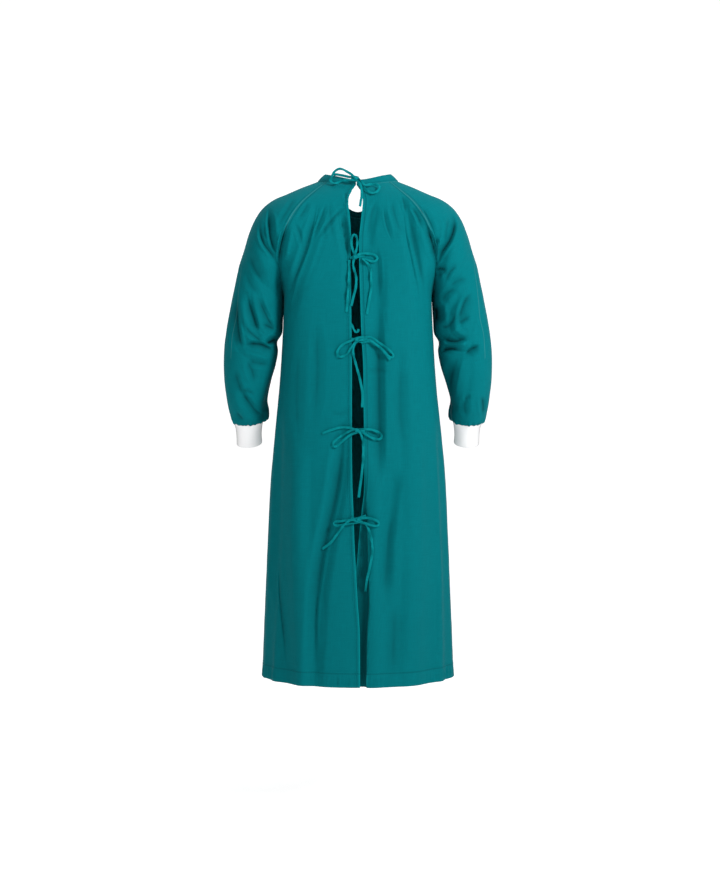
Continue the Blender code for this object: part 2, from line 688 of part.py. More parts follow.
def laid_out(points, run, surface, laid):
    """Y of the tape's inner face at each sample, clear of the cloth and of every strand under it."""
    cloth = np.array([cloth_under(surface, point) for point in points])
    for i, point in enumerate(points):
        over = laid[np.linalg.norm(laid[:, :2] - point, axis=1) < TIE_CROSSING]
        if len(over):
            cloth[i] = min(cloth[i], over[:, 2].min() - TIE_CLEARANCE + TIE_SEATING)
    apart = np.linalg.norm(points[:, None] - points[None], axis=2)
    along = run[:, None] - run[None]
    own = (apart < TIE_CROSSING) & (along > TIE_OWN_TURN)
    y = cloth - TIE_SEATING
    for _ in range(6):
        front = np.where(own, (y - TIE_THICKNESS)[None], 9).min(axis=1)
        y = np.minimum(y, front - TIE_CLEARANCE)
        y = (y[None] + TIE_SLOPE * np.abs(along)).min(axis=1)
    return y


def tie_strip(route, surface, laid):
    """(centres, sideways, half widths) of a tie's tape, and its samples for the ties laid after it."""
    points, run = spaced(route, TIE_SAMPLE)
    y = laid_out(points, run, surface, laid)
    samples = np.column_stack([points, y - TIE_THICKNESS])
    stations, stops = spaced(route, TIE_STEP)
    step = stops[1]
    outermost = np.array([y[np.abs(run - stop) <= step].min() for stop in stops])
    ahead = np.gradient(stations, axis=0)
    ahead /= np.linalg.norm(ahead, axis=1)[:, None]
    sideways = np.stack([-ahead[:, 1], ahead[:, 0]], axis=1)
    turn = np.abs(ahead[:-1, 0] * ahead[1:, 1] - ahead[:-1, 1] * ahead[1:, 0]) / step
    bend = np.concatenate([turn[:1], np.maximum(turn[:-1], turn[1:]), turn[-1:]])
    half = np.minimum(TIE_WIDTH / 2, TIE_TURN_ROOM / np.maximum(bend, 1))
    centres = np.stack([stations[:, 0], outermost, stations[:, 1]], axis=1)
    return centres, sideways, half, samples


def add_tie(tie, surface, laid, finish, collection, push=0.0):
    """Adds a tie and returns the samples of every tie laid so far."""
    centres, sideways, half, samples = tie_strip(tie.route, surface, laid)
    centres[:, 1] += push
    points = []
    for centre, side, reach in zip(centres, sideways, half):
        across = np.array((side[0], 0, side[1])) * reach
        out = np.array((0, TIE_THICKNESS, 0))
        points += [centre - across, centre + across, centre + across - out, centre - across - out]
    faces = [(3, 2, 1, 0)]
    last = len(centres) - 1
    for i in range(last):
        for j in range(4):
            a, b = 4 * i + j, 4 * i + (j + 1) % 4
            faces.append((a, b, b + 4, a + 4))
    faces.append(tuple(4 * last + j for j in (0, 1, 2, 3)))
    new_object(tie.name, points, faces, finish, collection)
    return np.concatenate([laid, samples])


def main():
    clear_scene()
    gown = bpy.data.collections.new("surgical_gown")
    bpy.context.scene.collection.children.link(gown)
    cloth = (TEAL, CLOTH_ROUGHNESS)
    knit = (RIB_WHITE, RIB_ROUGHNESS)
    tape = (TIE_TEAL, CLOTH_ROUGHNESS)

    grids = {
        "back_right": back_grid(1),
        "back_left": mirrored(back_grid(-1)),
        "front": front_grid(),
        "sleeve_right": sleeve_grid(),
        "cuff_right": cuff_grid(),
    }
    arm = 0 * grids["sleeve_right"][:, :, 1]
    places = sleeve_places()
    for i, place in enumerate(places):
        if place > ARMPIT:
            arm[i] = row_at(SleeveRow, SLEEVE, place - ARMPIT).middle_y
    grids["sleeve_left"] = mirrored(grids["sleeve_right"])
    grids["cuff_left"] = mirrored(grids["cuff_right"])
    middles = {"sleeve_right": arm, "sleeve_left": arm}
    for name in ("back_right", "back_left", "front", "sleeve_right", "sleeve_left"):
        grid = grids[name]
        middle = middles.get(name, 0 * grid[:, :, 1]).reshape(-1)
        grids[name] = folded(grid.reshape(-1, 3), middle).reshape(grid.shape)
    for side in ("left", "right"):
        grids[f"cuff_{side}"][0] = grids[f"sleeve_{side}"][-1]

    neckline = np.concatenate([
        grids["back_right"][0],
        grids["sleeve_right"][0][1:],
        grids["front"][0][1:],
        grids["sleeve_left"][0][1:],
        grids["back_left"][0][1:],
    ])
    grids["neck_band"] = band_grid(neckline)[::-1]

    armpit_row = YOKE_STEPS
    sheets = [
        sheet_of("front", grids["front"]),
        sheet_of("back_left", grids["back_left"]),
        sheet_of("back_right", grids["back_right"]),
        sheet_of("sleeve_left", grids["sleeve_left"], armpit_row),
        sheet_of("sleeve_right", grids["sleeve_right"], armpit_row),
        sheet_of("cuff_left", grids["cuff_left"], 0),
        sheet_of("cuff_right", grids["cuff_right"], 0),
        sheet_of("neck_band", grids["neck_band"]),
    ]
    normals, creased = shared_normals(sheets)
    for sheet in sheets:
        cuff = sheet.name.startswith("cuff")
        add_wall(
            sheet,
            normals[sheet.name],
            creased[sheet.name],
            CUFF_WALL if cuff else WALL,
            knit if cuff else cloth,
            gown,
        )

    collar = grids["neck_band"][:-1]
    left, right = grids["back_left"], grids["back_right"]
    surface = resting_surface(
        np.concatenate([collar[:, -left.shape[1]:], left]),
        np.concatenate([collar[:, :right.shape[1]], right]),
    )
    laid = np.zeros((0, 3))
    for tie in TIES:
        laid = add_tie(tie, surface, laid, tape, gown)
    add_tie(INNER_TIE, surface, np.zeros((0, 3)), tape, gown, WALL + INNER_TIE_BACK)


main()
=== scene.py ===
# %% [markdown]
# # A surgical gown in woven cloth
#
# The real gown is cut from firm poly-cotton: one front, two backs and two raglan sleeves, sewn to a narrow
# neck band, with a white rib-knit cuff on each wrist and five pairs of tape ties down the open back. This
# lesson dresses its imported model. Cloth has almost no thickness and no sharp form of its own, so nearly
# everything here is a fine grid of points, worked out from the sizes of the cut, into which the folds are
# pressed one by one.

# %% Load the fixed frame
import math
from collections import namedtuple

import bpy
import numpy as np
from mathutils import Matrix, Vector, noise
from mathutils.bvhtree import BVHTree


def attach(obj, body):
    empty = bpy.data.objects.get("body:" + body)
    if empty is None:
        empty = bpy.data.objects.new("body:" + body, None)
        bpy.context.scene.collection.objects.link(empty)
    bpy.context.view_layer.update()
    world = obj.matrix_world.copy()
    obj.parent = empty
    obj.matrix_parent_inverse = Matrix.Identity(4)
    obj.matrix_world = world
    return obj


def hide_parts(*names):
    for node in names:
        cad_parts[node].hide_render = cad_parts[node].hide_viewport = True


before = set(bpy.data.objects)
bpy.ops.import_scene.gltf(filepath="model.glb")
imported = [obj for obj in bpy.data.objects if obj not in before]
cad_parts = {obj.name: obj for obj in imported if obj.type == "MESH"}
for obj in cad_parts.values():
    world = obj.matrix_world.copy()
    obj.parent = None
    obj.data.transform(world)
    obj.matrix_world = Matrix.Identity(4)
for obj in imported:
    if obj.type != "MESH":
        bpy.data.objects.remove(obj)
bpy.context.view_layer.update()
bpy.ops.object.select_all(action="DESELECT")
print("solids in the frame:", len(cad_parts))

# %% [markdown]
# ## The camera
#
# A studio shows clothing from a few metres away through a short telephoto lens, level with the middle of the
# garment, so that nothing leans. In Blender the lens is a focal length against a 36 mm sensor, and the
# sensor measures the picture's longer side.

# %% Camera
CAMERA_AT = (.005, -3.8, -.644)
LENS = 62.7

eye = bpy.data.cameras.new("camera")
eye.lens = LENS
eye.sensor_width = 36
eye.sensor_fit = "AUTO"
camera = bpy.data.objects.new("camera", eye)
camera.location = CAMERA_AT
camera.rotation_euler = (math.radians(90), 0, 0)
bpy.context.scene.collection.objects.link(camera)
bpy.context.scene.camera = camera
print("camera at", CAMERA_AT)

# %% [markdown]
# ## The sizes of the cut
#
# A tailor would draw the pattern pieces flat. Here each piece is described the way it hangs instead: rows
# from the neckline to the armpit, then rings down the skirt and down each sleeve. The tables are short,
# and a smooth curve is drawn through their rows. Sizes are in metres, angles in degrees. The back faces -Y,
# and +X is the wearer's right.

# %% Rows of the yoke, the skirt, the sleeves and the cuffs


def table(columns, *rows):
    """Rows whose columns have names."""
    kind = namedtuple("Row", columns)
    return [kind(*row) for row in rows]


YOKE = table(
    "ridge_x ridge_z back_x back_y back_z front_x front_y front_z "
    "mid_back_y mid_back_z mid_front_y mid_front_z turn tuck reach",
    (.099, .002, .078, -.050, -.006, .074, .053, -.026, -.078, -.018, .078, -.075, -50, 50, .078),
    (.134, -.012, .105, -.079, -.032, .096, .075, -.054, -.098, -.045, .093, -.100, -36, 36, .096),
    (.170, -.028, .131, -.100, -.059, .116, .092, -.085, -.108, -.075, .105, -.125, -22, 22, .106),
    (.205, -.043, .152, -.112, -.088, .134, .102, -.120, -.115, -.108, .113, -.150, -10, 10, .110),
    (.232, -.064, .168, -.117, -.118, .148, .107, -.155, -.122, -.143, .119, -.178, 0, 2, .110),
    (.252, -.093, .179, -.114, -.150, .159, .106, -.190, -.126, -.180, .123, -.205, 12, 6, .105),
    (.266, -.128, .185, -.100, -.185, .168, .095, -.222, -.128, -.217, .125, -.232, 32, 22, .096),
    (.277, -.165, .186, -.068, -.228, .175, .066, -.256, -.130, -.255, .125, -.262, 62, 52, .086),
    (.290, -.205, .180, .000, -.290, .180, .000, -.290, -.130, -.290, .125, -.290, 90, 90, .077),
)
ARMPIT = len(YOKE) - 1

SKIRT = table(
    "height half_width back_depth front_depth fullness",
    (-.290, .1800, .130, .125, .84),
    (-.366, .1830, .132, .130, .80),
    (-.480, .1900, .137, .139, .74),
    (-.600, .2015, .144, .149, .69),
    (-.720, .2120, .152, .158, .65),
    (-.840, .2180, .161, .167, .63),
    (-.960, .2235, .169, .176, .62),
    (-1.080, .2285, .176, .184, .61),
    (-1.204, .2330, .182, .190, .60),
)

ARM_COLUMNS = "ridge_x ridge_z inner_x inner_z reach middle_y lean"
SLEEVE = table(
    ARM_COLUMNS,
    (.2900, -.205, .1800, -.290, .077, .000, 0),
    (.3055, -.280, .1829, -.335, .077, -.003, 0),
    (.3165, -.338, .1850, -.3665, .075, -.007, 0),
    (.3215, -.372, .1965, -.3880, .073, -.009, 0),
    (.3250, -.400, .1950, -.4120, .071, -.009, 1),
    (.3270, -.440, .2015, -.4460, .067, -.003, 5),
    (.3262, -.482, .2145, -.4850, .062, .007, 10),
    (.3210, -.530, .2275, -.5300, .0555, .019, 16),
    (.3162, -.558, .2260, -.5560, .049, .028, 20),
    (.3122, -.575, .2290, -.5730, .043, .033, 20),
    (.3090, -.580, .2325, -.5780, .040, .034, 20),
)
CUFF = table(
    ARM_COLUMNS,
    (.3092, -.578, .2325, -.576, .040, .034, 20),
    (.3030, -.590, .2355, -.588, .0385, .038, 20),
    (.3004, -.605, .2378, -.602, .0375, .0435, 20),
    (.2998, -.621, .2385, -.618, .037, .0485, 20),
    (.2998, -.636, .2372, -.633, .036, .054, 20),
)

# %% [markdown]
# ## The back opening
#
# The two backs don't meet. Each free edge has a narrow turned hem, and low down the right panel dips in
# and runs on under the left one. This table says where each edge is at each height, and where the crest
# of its soft fold lies.

# %% Free edges of the back opening
EDGES = table(
    "height left_edge left_crest right_edge right_crest dip",
    (-.018, -.0048, -.016, -.0032, .008, 0),
    (-.032, -.0140, -.028, .0060, .018, 0),
    (-.058, -.0225, -.036, .0115, .026, 0),
    (-.100, -.0190, -.032, .0080, .022, 0),
    (-.146, -.0165, -.029, .0035, .018, 0),
    (-.196, -.0170, -.029, .0030, .017, 0),
    (-.290, -.0160, -.028, .0055, .020, 0),
    (-.370, -.0150, -.027, .0080, .022, 0),
    (-.450, -.0140, -.026, .0125, .026, 0),
    (-.545, -.0140, -.026, .0135, .028, 0),
    (-.660, -.0140, -.026, .0150, .028, 0),
    (-.745, -.0125, -.024, .0145, .028, .004),
    (-.803, -.0100, -.022, .0080, .029, .012),
    (-.852, -.0085, -.020, .0030, .031, .016),
    (-.922, -.0050, -.018, -.0030, .033, .017),
    (-1.014, .0000, -.014, -.0140, .035, .018),
    (-1.068, .0040, -.010, -.0200, .031, .018),
    (-1.155, .0050, -.009, -.0300, .029, .018),
    (-1.210, .0050, -.009, -.0350, .029, .018),
)
DIP_WIDTH = .0045
CREST_BACK = .0075

# %% [markdown]
# ## Helpers for smooth tables and curves
#
# `between` reads every column of a table at a place between two rows, on a Catmull-Rom curve, which runs
# through each row without a corner. Each row of cloth is then a Bezier curve, the same kind that Blender
# draws with two handles.

# %% Smooth steps, table rows and Bezier curves


def between(rows, place):
    values = np.array(rows, float)
    last = len(values) - 1
    place = min(max(place, 0.0), last)
    i = min(int(place), last - 1)
    f = place - i
    b, c = values[i], values[i + 1]
    a = values[i - 1] if i > 0 else 2 * b - c
    d = values[i + 2] if i + 2 <= last else 2 * c - b
    return b + .5 * f * (c - a + f * (2 * a - 5 * b + 4 * c - d + f * (3 * (b - c) + d - a)))


def row_at(rows, place):
    return rows[0]._make(between(rows, place))


def ease(value):
    value = np.clip(value, 0, 1)
    return value * value * (3 - 2 * value)


def falls(gap, width):
    """1 at no distance, 0 at the width."""
    return 1 - ease(gap / width)


def unit(vector):
    return vector / max(np.linalg.norm(vector), 1e-12)


def run_along(line):
    """How far along a line of points each one is."""
    return np.concatenate([[0], np.cumsum(np.linalg.norm(np.diff(line, axis=0), axis=1))])


def bezier(corners, places):
    a, b, c, d = corners
    p = np.asarray(places, float)[:, None]
    left = 1 - p
    return a * left**3 + 3 * b * left**2 * p + 3 * c * left * p**2 + d * p**3


print("halfway down the skirt:", row_at(SKIRT, 4))

# %% [markdown]
# ## Body rows and sleeve rows
#
# Above the armpit a row of cloth crosses the back to the raglan seam, climbs over the sleeve's ridge and
# comes down across the chest. `turn` says how far the sleeve has rolled under at its seam and `tuck` how
# far the body has, so that both sides leave the seam in the same direction and the cloth looks sewn.
# Below the armpit a row is a plain ring.

# %% The Bezier corners of each row
SIDE_RISE = .0045
SIDE_RISE_FROM = -1.0
SIDE_RISE_OVER = .2
YOKE_HANDLE = .36
YOKE_LOW_FROM = 3
BULGE_LIMIT = .92
LEAST_RUN = .1


def arc_handle(degrees):
    return 4 / 3 * math.tan(math.radians(degrees) / 4)


def seam_direction(middle, seam, ridge):
    up = unit(np.array((ridge[0] - seam[0], 0, ridge[2] - seam[2])))
    return unit(unit(seam - middle) + up)


def yoke_points(row, face):
    """(middle, seam, ridge, sign) of a yoke row on one face."""
    ridge = np.array((row.ridge_x, 0, row.ridge_z))
    if face == "back":
        middle = np.array((0, row.mid_back_y, row.mid_back_z))
        return middle, np.array((row.back_x, row.back_y, row.back_z)), ridge, -1
    middle = np.array((0, row.mid_front_y, row.mid_front_z))
    return middle, np.array((row.front_x, row.front_y, row.front_z)), ridge, 1


def body_curve(place, face):
    if place >= ARMPIT:
        row = row_at(SKIRT, place - ARMPIT)
        depth = -row.back_depth if face == "back" else row.front_depth
        middle = np.array((0, depth, row.height))
        rise = SIDE_RISE * ease((SIDE_RISE_FROM - row.height) / SIDE_RISE_OVER)
        side = np.array((row.half_width, 0, row.height + rise))
        wide = np.array((row.fullness * row.half_width, 0, 0))
        deep = np.array((0, row.fullness * depth, 0))
        return middle, middle + wide, side + deep, side
    row = row_at(YOKE, place)
    middle, seam, ridge, sign = yoke_points(row, face)
    tuck = math.radians(row.tuck)
    run = seam_direction(middle, seam, ridge) * math.cos(tuck) - np.array((0, sign * math.sin(tuck), 0))
    chord = np.linalg.norm(seam - middle)
    low = ease((place - YOKE_LOW_FROM) / (ARMPIT - YOKE_LOW_FROM))
    depth = SKIRT[0].back_depth if face == "back" else SKIRT[0].front_depth
    start = (1 - low) * YOKE_HANDLE * chord + low * SKIRT[0].fullness * SKIRT[0].half_width
    end = (1 - low) * YOKE_HANDLE * chord + low * SKIRT[0].fullness * depth
    room = abs(middle[1]) - abs(seam[1])
    end = min(end, BULGE_LIMIT * room / max(abs(run[1]), LEAST_RUN))
    return middle, middle + np.array((start, 0, 0)), seam - end * run, seam


def sleeve_curve(place, face, rows=SLEEVE):
    if place >= ARMPIT:
        row = row_at(rows, place - ARMPIT)
        lean = math.radians(row.lean)
        reach = arc_handle(180) * row.reach * np.array((0, math.cos(lean), math.sin(lean)))
        reach *= -1 if face == "back" else 1
        inner = np.array((row.inner_x, row.middle_y, row.inner_z))
        ridge = np.array((row.ridge_x, row.middle_y, row.ridge_z))
        return inner, inner + reach, ridge + reach, ridge
    row = row_at(YOKE, place)
    middle, seam, ridge, sign = yoke_points(row, face)
    turn = math.radians(row.turn)
    across = math.hypot(ridge[0] - seam[0], ridge[2] - seam[2]) / (1 + math.sin(turn))
    handle = arc_handle(90 + row.turn)
    run = seam_direction(middle, seam, ridge) * math.cos(turn) + np.array((0, sign * math.sin(turn), 0))
    length = handle * math.hypot(across * math.cos(turn), row.reach * math.sin(turn))
    return seam, seam + length * run, ridge + np.array((0, sign * handle * row.reach, 0)), ridge


# %% [markdown]
# ## Where the rows and columns go
#
# A crease or a line of sewing shows only where the grid is fine enough to bend. So the columns aren't
# even: a few lie at fixed distances from each free edge and each seam, right on the sewing lines, and
# the rest share what is left. Distances along the cloth are kept, in metres, as the piece's own UV map.
# The weave and the stitches are drawn on that map, so they follow the cut.

# %% Spacing of rows and columns
EDGE_HEM = .0105
EDGE_STITCH = .0078
HEM = .0345
HEM_STITCH = .0320
SEAM_STITCH = .0050
EDGE_STOPS = (0, .0006, .0020, .0045, .0070, EDGE_STITCH, .0086, EDGE_HEM, .0114, .0130, .0160, .0195, .0235)
SEAM_STOPS = (0, .0006, .0014, .0026, .0042, SEAM_STITCH, .0058, .0085)
HEM_STOPS = (0, .0008, .0030, .0090, .0160, .0230, .0290, .0312, HEM_STITCH, .0328, HEM, .0353, .0370, .0415)
YOKE_FINE = 108
SKIRT_FINE = 214
SLEEVE_FINE = 150
BACK_FINE = 94
FRONT_FINE = 108
SLEEVE_COLUMNS = 146
CURVE_FINE = 240

Grid = namedtuple("Grid", "points across down")


def yoke_places():
    return [ARMPIT * i / YOKE_FINE for i in range(YOKE_FINE + 1)]


def body_places():
    """Rows down to the hem. The last ones lie at the hem's own distances from the bottom."""
    last = SKIRT[-2].height - SKIRT[-1].height
    bottom = ARMPIT + len(SKIRT) - 1
    hem = [bottom - stop / last for stop in reversed(HEM_STOPS)]
    above = np.linspace(ARMPIT, hem[0], SKIRT_FINE + 1)[1:-1]
    return yoke_places() + list(above) + hem


def sleeve_places():
    arm = len(SLEEVE) - 1
    return yoke_places() + [ARMPIT + arm * (i + 1) / SLEEVE_FINE for i in range(SLEEVE_FINE)]


def spread(line, first, last, count):
    """Points along a dense line at fixed distances from both ends and evenly between, and how far along."""
    run = run_along(line)
    length = run[-1]
    middle = np.linspace(first[-1], length - last[-1], count + 1)[1:-1]
    stops = np.concatenate([first, middle, length - np.array(last[::-1])])
    return np.stack([np.interp(stops, run, line[:, i]) for i in range(3)], axis=1), stops


def grid_of(rows):
    points = np.array([row[0] for row in rows])
    across = np.array([row[1] for row in rows])
    steps = np.linalg.norm(np.diff(points, axis=0), axis=2).mean(axis=1)
    down = np.concatenate([[0], np.cumsum(steps)])[:, None] + 0 * across
    return Grid(points, across, down)


def mirrored(grid):
    """The same piece on the other side, with its columns turned round so that it still faces out."""
    points = grid.points[:, ::-1] * (-1, 1, 1)
    across = (grid.across[:, -1:] - grid.across)[:, ::-1]
    return Grid(points, across, grid.down)


# %% [markdown]
# ## The panels as flat-hanging grids
#
# Each function below walks down its piece and spreads one row of points at a time. The left back is made
# like the right one, from its own edge sizes, and then mirrored.

# %% Grids of the backs, the front and the sleeves
BLEND_ROWS = 12
BLEND_PASSES = 24
BLEND_FROM_SEAM = .035


def place_across(curve, x):
    fine = np.linspace(0, 1, CURVE_FINE)
    return math.copysign(np.interp(abs(x), bezier(curve, fine)[:, 0], fine), x)


def edge_at(height):
    heights = [-row.height for row in EDGES]
    return row_at(EDGES, np.interp(-height, heights, range(len(EDGES))))


def back_grid(side):
    rows = []
    for place in body_places():
        curve = body_curve(place, "back")
        edge = edge_at(curve[0][2])
        free, crest = (edge.right_edge, edge.right_crest) if side > 0 else (-edge.left_edge, -edge.left_crest)
        steps = np.linspace(place_across(curve, free), 1, CURVE_FINE)
        line = bezier(curve, np.abs(steps))
        line[steps < 0, 0] *= -1
        if side > 0:
            line[:, 1] += edge.dip * ease((crest - CREST_BACK - line[:, 0]) / DIP_WIDTH)
        rows.append(spread(line, EDGE_STOPS, SEAM_STOPS, BACK_FINE))
    return grid_of(rows)


def front_grid():
    rows = []
    for place in body_places():
        half = bezier(body_curve(place, "front"), np.linspace(1, 0, CURVE_FINE))
        line = np.concatenate([half, half[-2::-1] * (-1, 1, 1)])
        rows.append(spread(line, SEAM_STOPS, SEAM_STOPS, FRONT_FINE))
    return grid_of(rows)


def round_arm(place, rows=SLEEVE):
    steps = np.linspace(0, 1, CURVE_FINE)
    back = bezier(sleeve_curve(place, "back", rows), steps)
    front = bezier(sleeve_curve(place, "front", rows), steps[::-1])
    return np.concatenate([back, front[1:]])


def blended(grid, two_seams=False):
    """The rows above and below the armpit eased into each other, so that no line shows across a panel."""
    points = grid.points.copy()
    to_seam = np.linalg.norm(points[YOKE_FINE] - points[YOKE_FINE, -1], axis=1)
    if two_seams:
        to_seam = np.minimum(to_seam, to_seam[::-1])
    near = 1 - np.abs(np.arange(-BLEND_ROWS, BLEND_ROWS + 1)) / (BLEND_ROWS + 1)
    weight = (ease(2 * near)[:, None] * ease(to_seam / BLEND_FROM_SEAM))[:, :, None]
    first, last = YOKE_FINE - BLEND_ROWS, YOKE_FINE + BLEND_ROWS + 1
    for _ in range(BLEND_PASSES):
        middle = (points[first - 1:last - 1] + points[first + 1:last + 1]) / 2
        points[first:last] += .5 * weight * (middle - points[first:last])
    return Grid(points, grid.across, grid.down)


right_back = blended(back_grid(1))
left_back = mirrored(blended(back_grid(-1)))
front = blended(front_grid(), two_seams=True)
arms = [spread(round_arm(place), SEAM_STOPS, SEAM_STOPS, SLEEVE_COLUMNS) for place in sleeve_places()]
right_sleeve = grid_of(arms)
left_sleeve = mirrored(right_sleeve)
print("rows and columns of the front:", front.across.shape)

# %% [markdown]
# ## The large folds
#
# The gown hangs from the shoulders, so its skirt falls in long soft troughs and ridges, and each sleeve
# breaks at the elbow. They are the same folds that the solids have. A row is a depth, a half width, a lean
# and a line of (sideways, height) points, all in millimetres: the cloth is pressed in by the whole depth on
# the line and by nothing at the width. Less than nothing makes a ridge. On the left and right faces
# sideways is Y. A large fold doesn't lean.

# %% Table of large folds
Fold = namedtuple("Fold", "depth width lean line")


def folds(*rows):
    """Folds in metres, from rows in millimetres."""
    return [
        Fold(depth / 1000, width / 1000, lean, np.array(line) / 1000) for depth, width, lean, *line in rows
    ]


FOLDS = {
    "back": folds(
        (8.5, 28, 0, (45, -170), (45, -368), (44, -581), (44, -745)),
        (10.5, 26, 0, (87, -690), (75, -782), (64, -870), (59, -1000)),
        (-7, 30, 0, (32, -600), (42, -800), (40, -980), (36, -1330)),
        (12, 30, 0, (-30, -560), (-53, -768), (-80, -903), (-100, -1060), (-108, -1290)),
        (6.5, 18, 0, (-45, -75), (-30, -165), (-21, -215), (-28, -300)),
        (6.5, 22, 0, (-89, -61), (-112, -163), (-140, -245), (-166, -335)),
        (6.5, 22, 0, (104, -45), (121, -146), (143, -258), (168, -360)),
        (4, 18, 0, (48, -70), (31, -126), (24, -185)),
        (12, 34, 0, (-180, -560), (-188, -850), (-178, -1070), (-165, -1330)),
        (-8, 34, 0, (-140, -600), (-142, -850), (-132, -1050), (-128, -1330)),
        (-7, 32, 0, (120, -360), (130, -600), (132, -850), (120, -1330)),
        (11, 32, 0, (172, -560), (180, -860), (174, -1100), (170, -1330)),
        (7, 20, 0, (-216, -73), (-205, -150), (-190, -215), (-180, -280)),
        (6, 20, 0, (-263, -280), (-244, -345), (-232, -392)),
        (6.5, 20, 0, (-292, -398), (-245, -406), (-203, -420)),
        (5, 20, 0, (-280, -500), (-256, -540), (-226, -572)),
        (7, 20, 0, (228, -75), (216, -150), (188, -215)),
        (6, 20, 0, (252, -280), (212, -312), (196, -350)),
        (8, 24, 0, (196, -402), (240, -414), (288, -404)),
        (6.5, 20, 0, (208, -440), (220, -500), (226, -560)),
    ),
    "front": folds(
        (12, 36, 0, (58, -200), (66, -480), (78, -800), (94, -1330)),
        (11, 34, 0, (-66, -240), (-60, -500), (-72, -860), (-60, -1330)),
        (-9, 36, 0, (4, -420), (-4, -840), (6, -1330)),
        (12, 34, 0, (-148, -560), (-158, -900), (-150, -1330)),
        (11, 34, 0, (156, -620), (164, -940), (158, -1330)),
        (-7, 34, 0, (-112, -440), (-116, -800), (-106, -1330)),
        (6.5, 24, 0, (96, -80), (112, -180), (140, -300), (164, -380)),
        (6.5, 24, 0, (-94, -85), (-116, -200), (-146, -330), (-166, -400)),
        (5, 20, 0, (-50, -105), (0, -122), (50, -105)),
        (6.5, 20, 0, (214, -110), (206, -190), (190, -260)),
        (6.5, 20, 0, (-220, -120), (-204, -200), (-190, -270)),
        (8.5, 22, 0, (206, -415), (250, -400), (300, -412)),
        (8.5, 22, 0, (-210, -400), (-255, -412), (-302, -398)),
        (6, 20, 0, (216, -455), (256, -446), (290, -462)),
        (6, 20, 0, (-222, -450), (-262, -462), (-294, -446)),
    ),
    "left": folds(
        (8, 34, 0, (30, -440), (50, -800), (40, -1330)),
        (7, 30, 0, (-60, -500), (-80, -900), (-70, -1330)),
    ),
    "right": folds(
        (8, 34, 0, (45, -480), (65, -860), (55, -1330)),
        (7, 30, 0, (-50, -560), (-60, -950), (-80, -1330)),
    ),
}
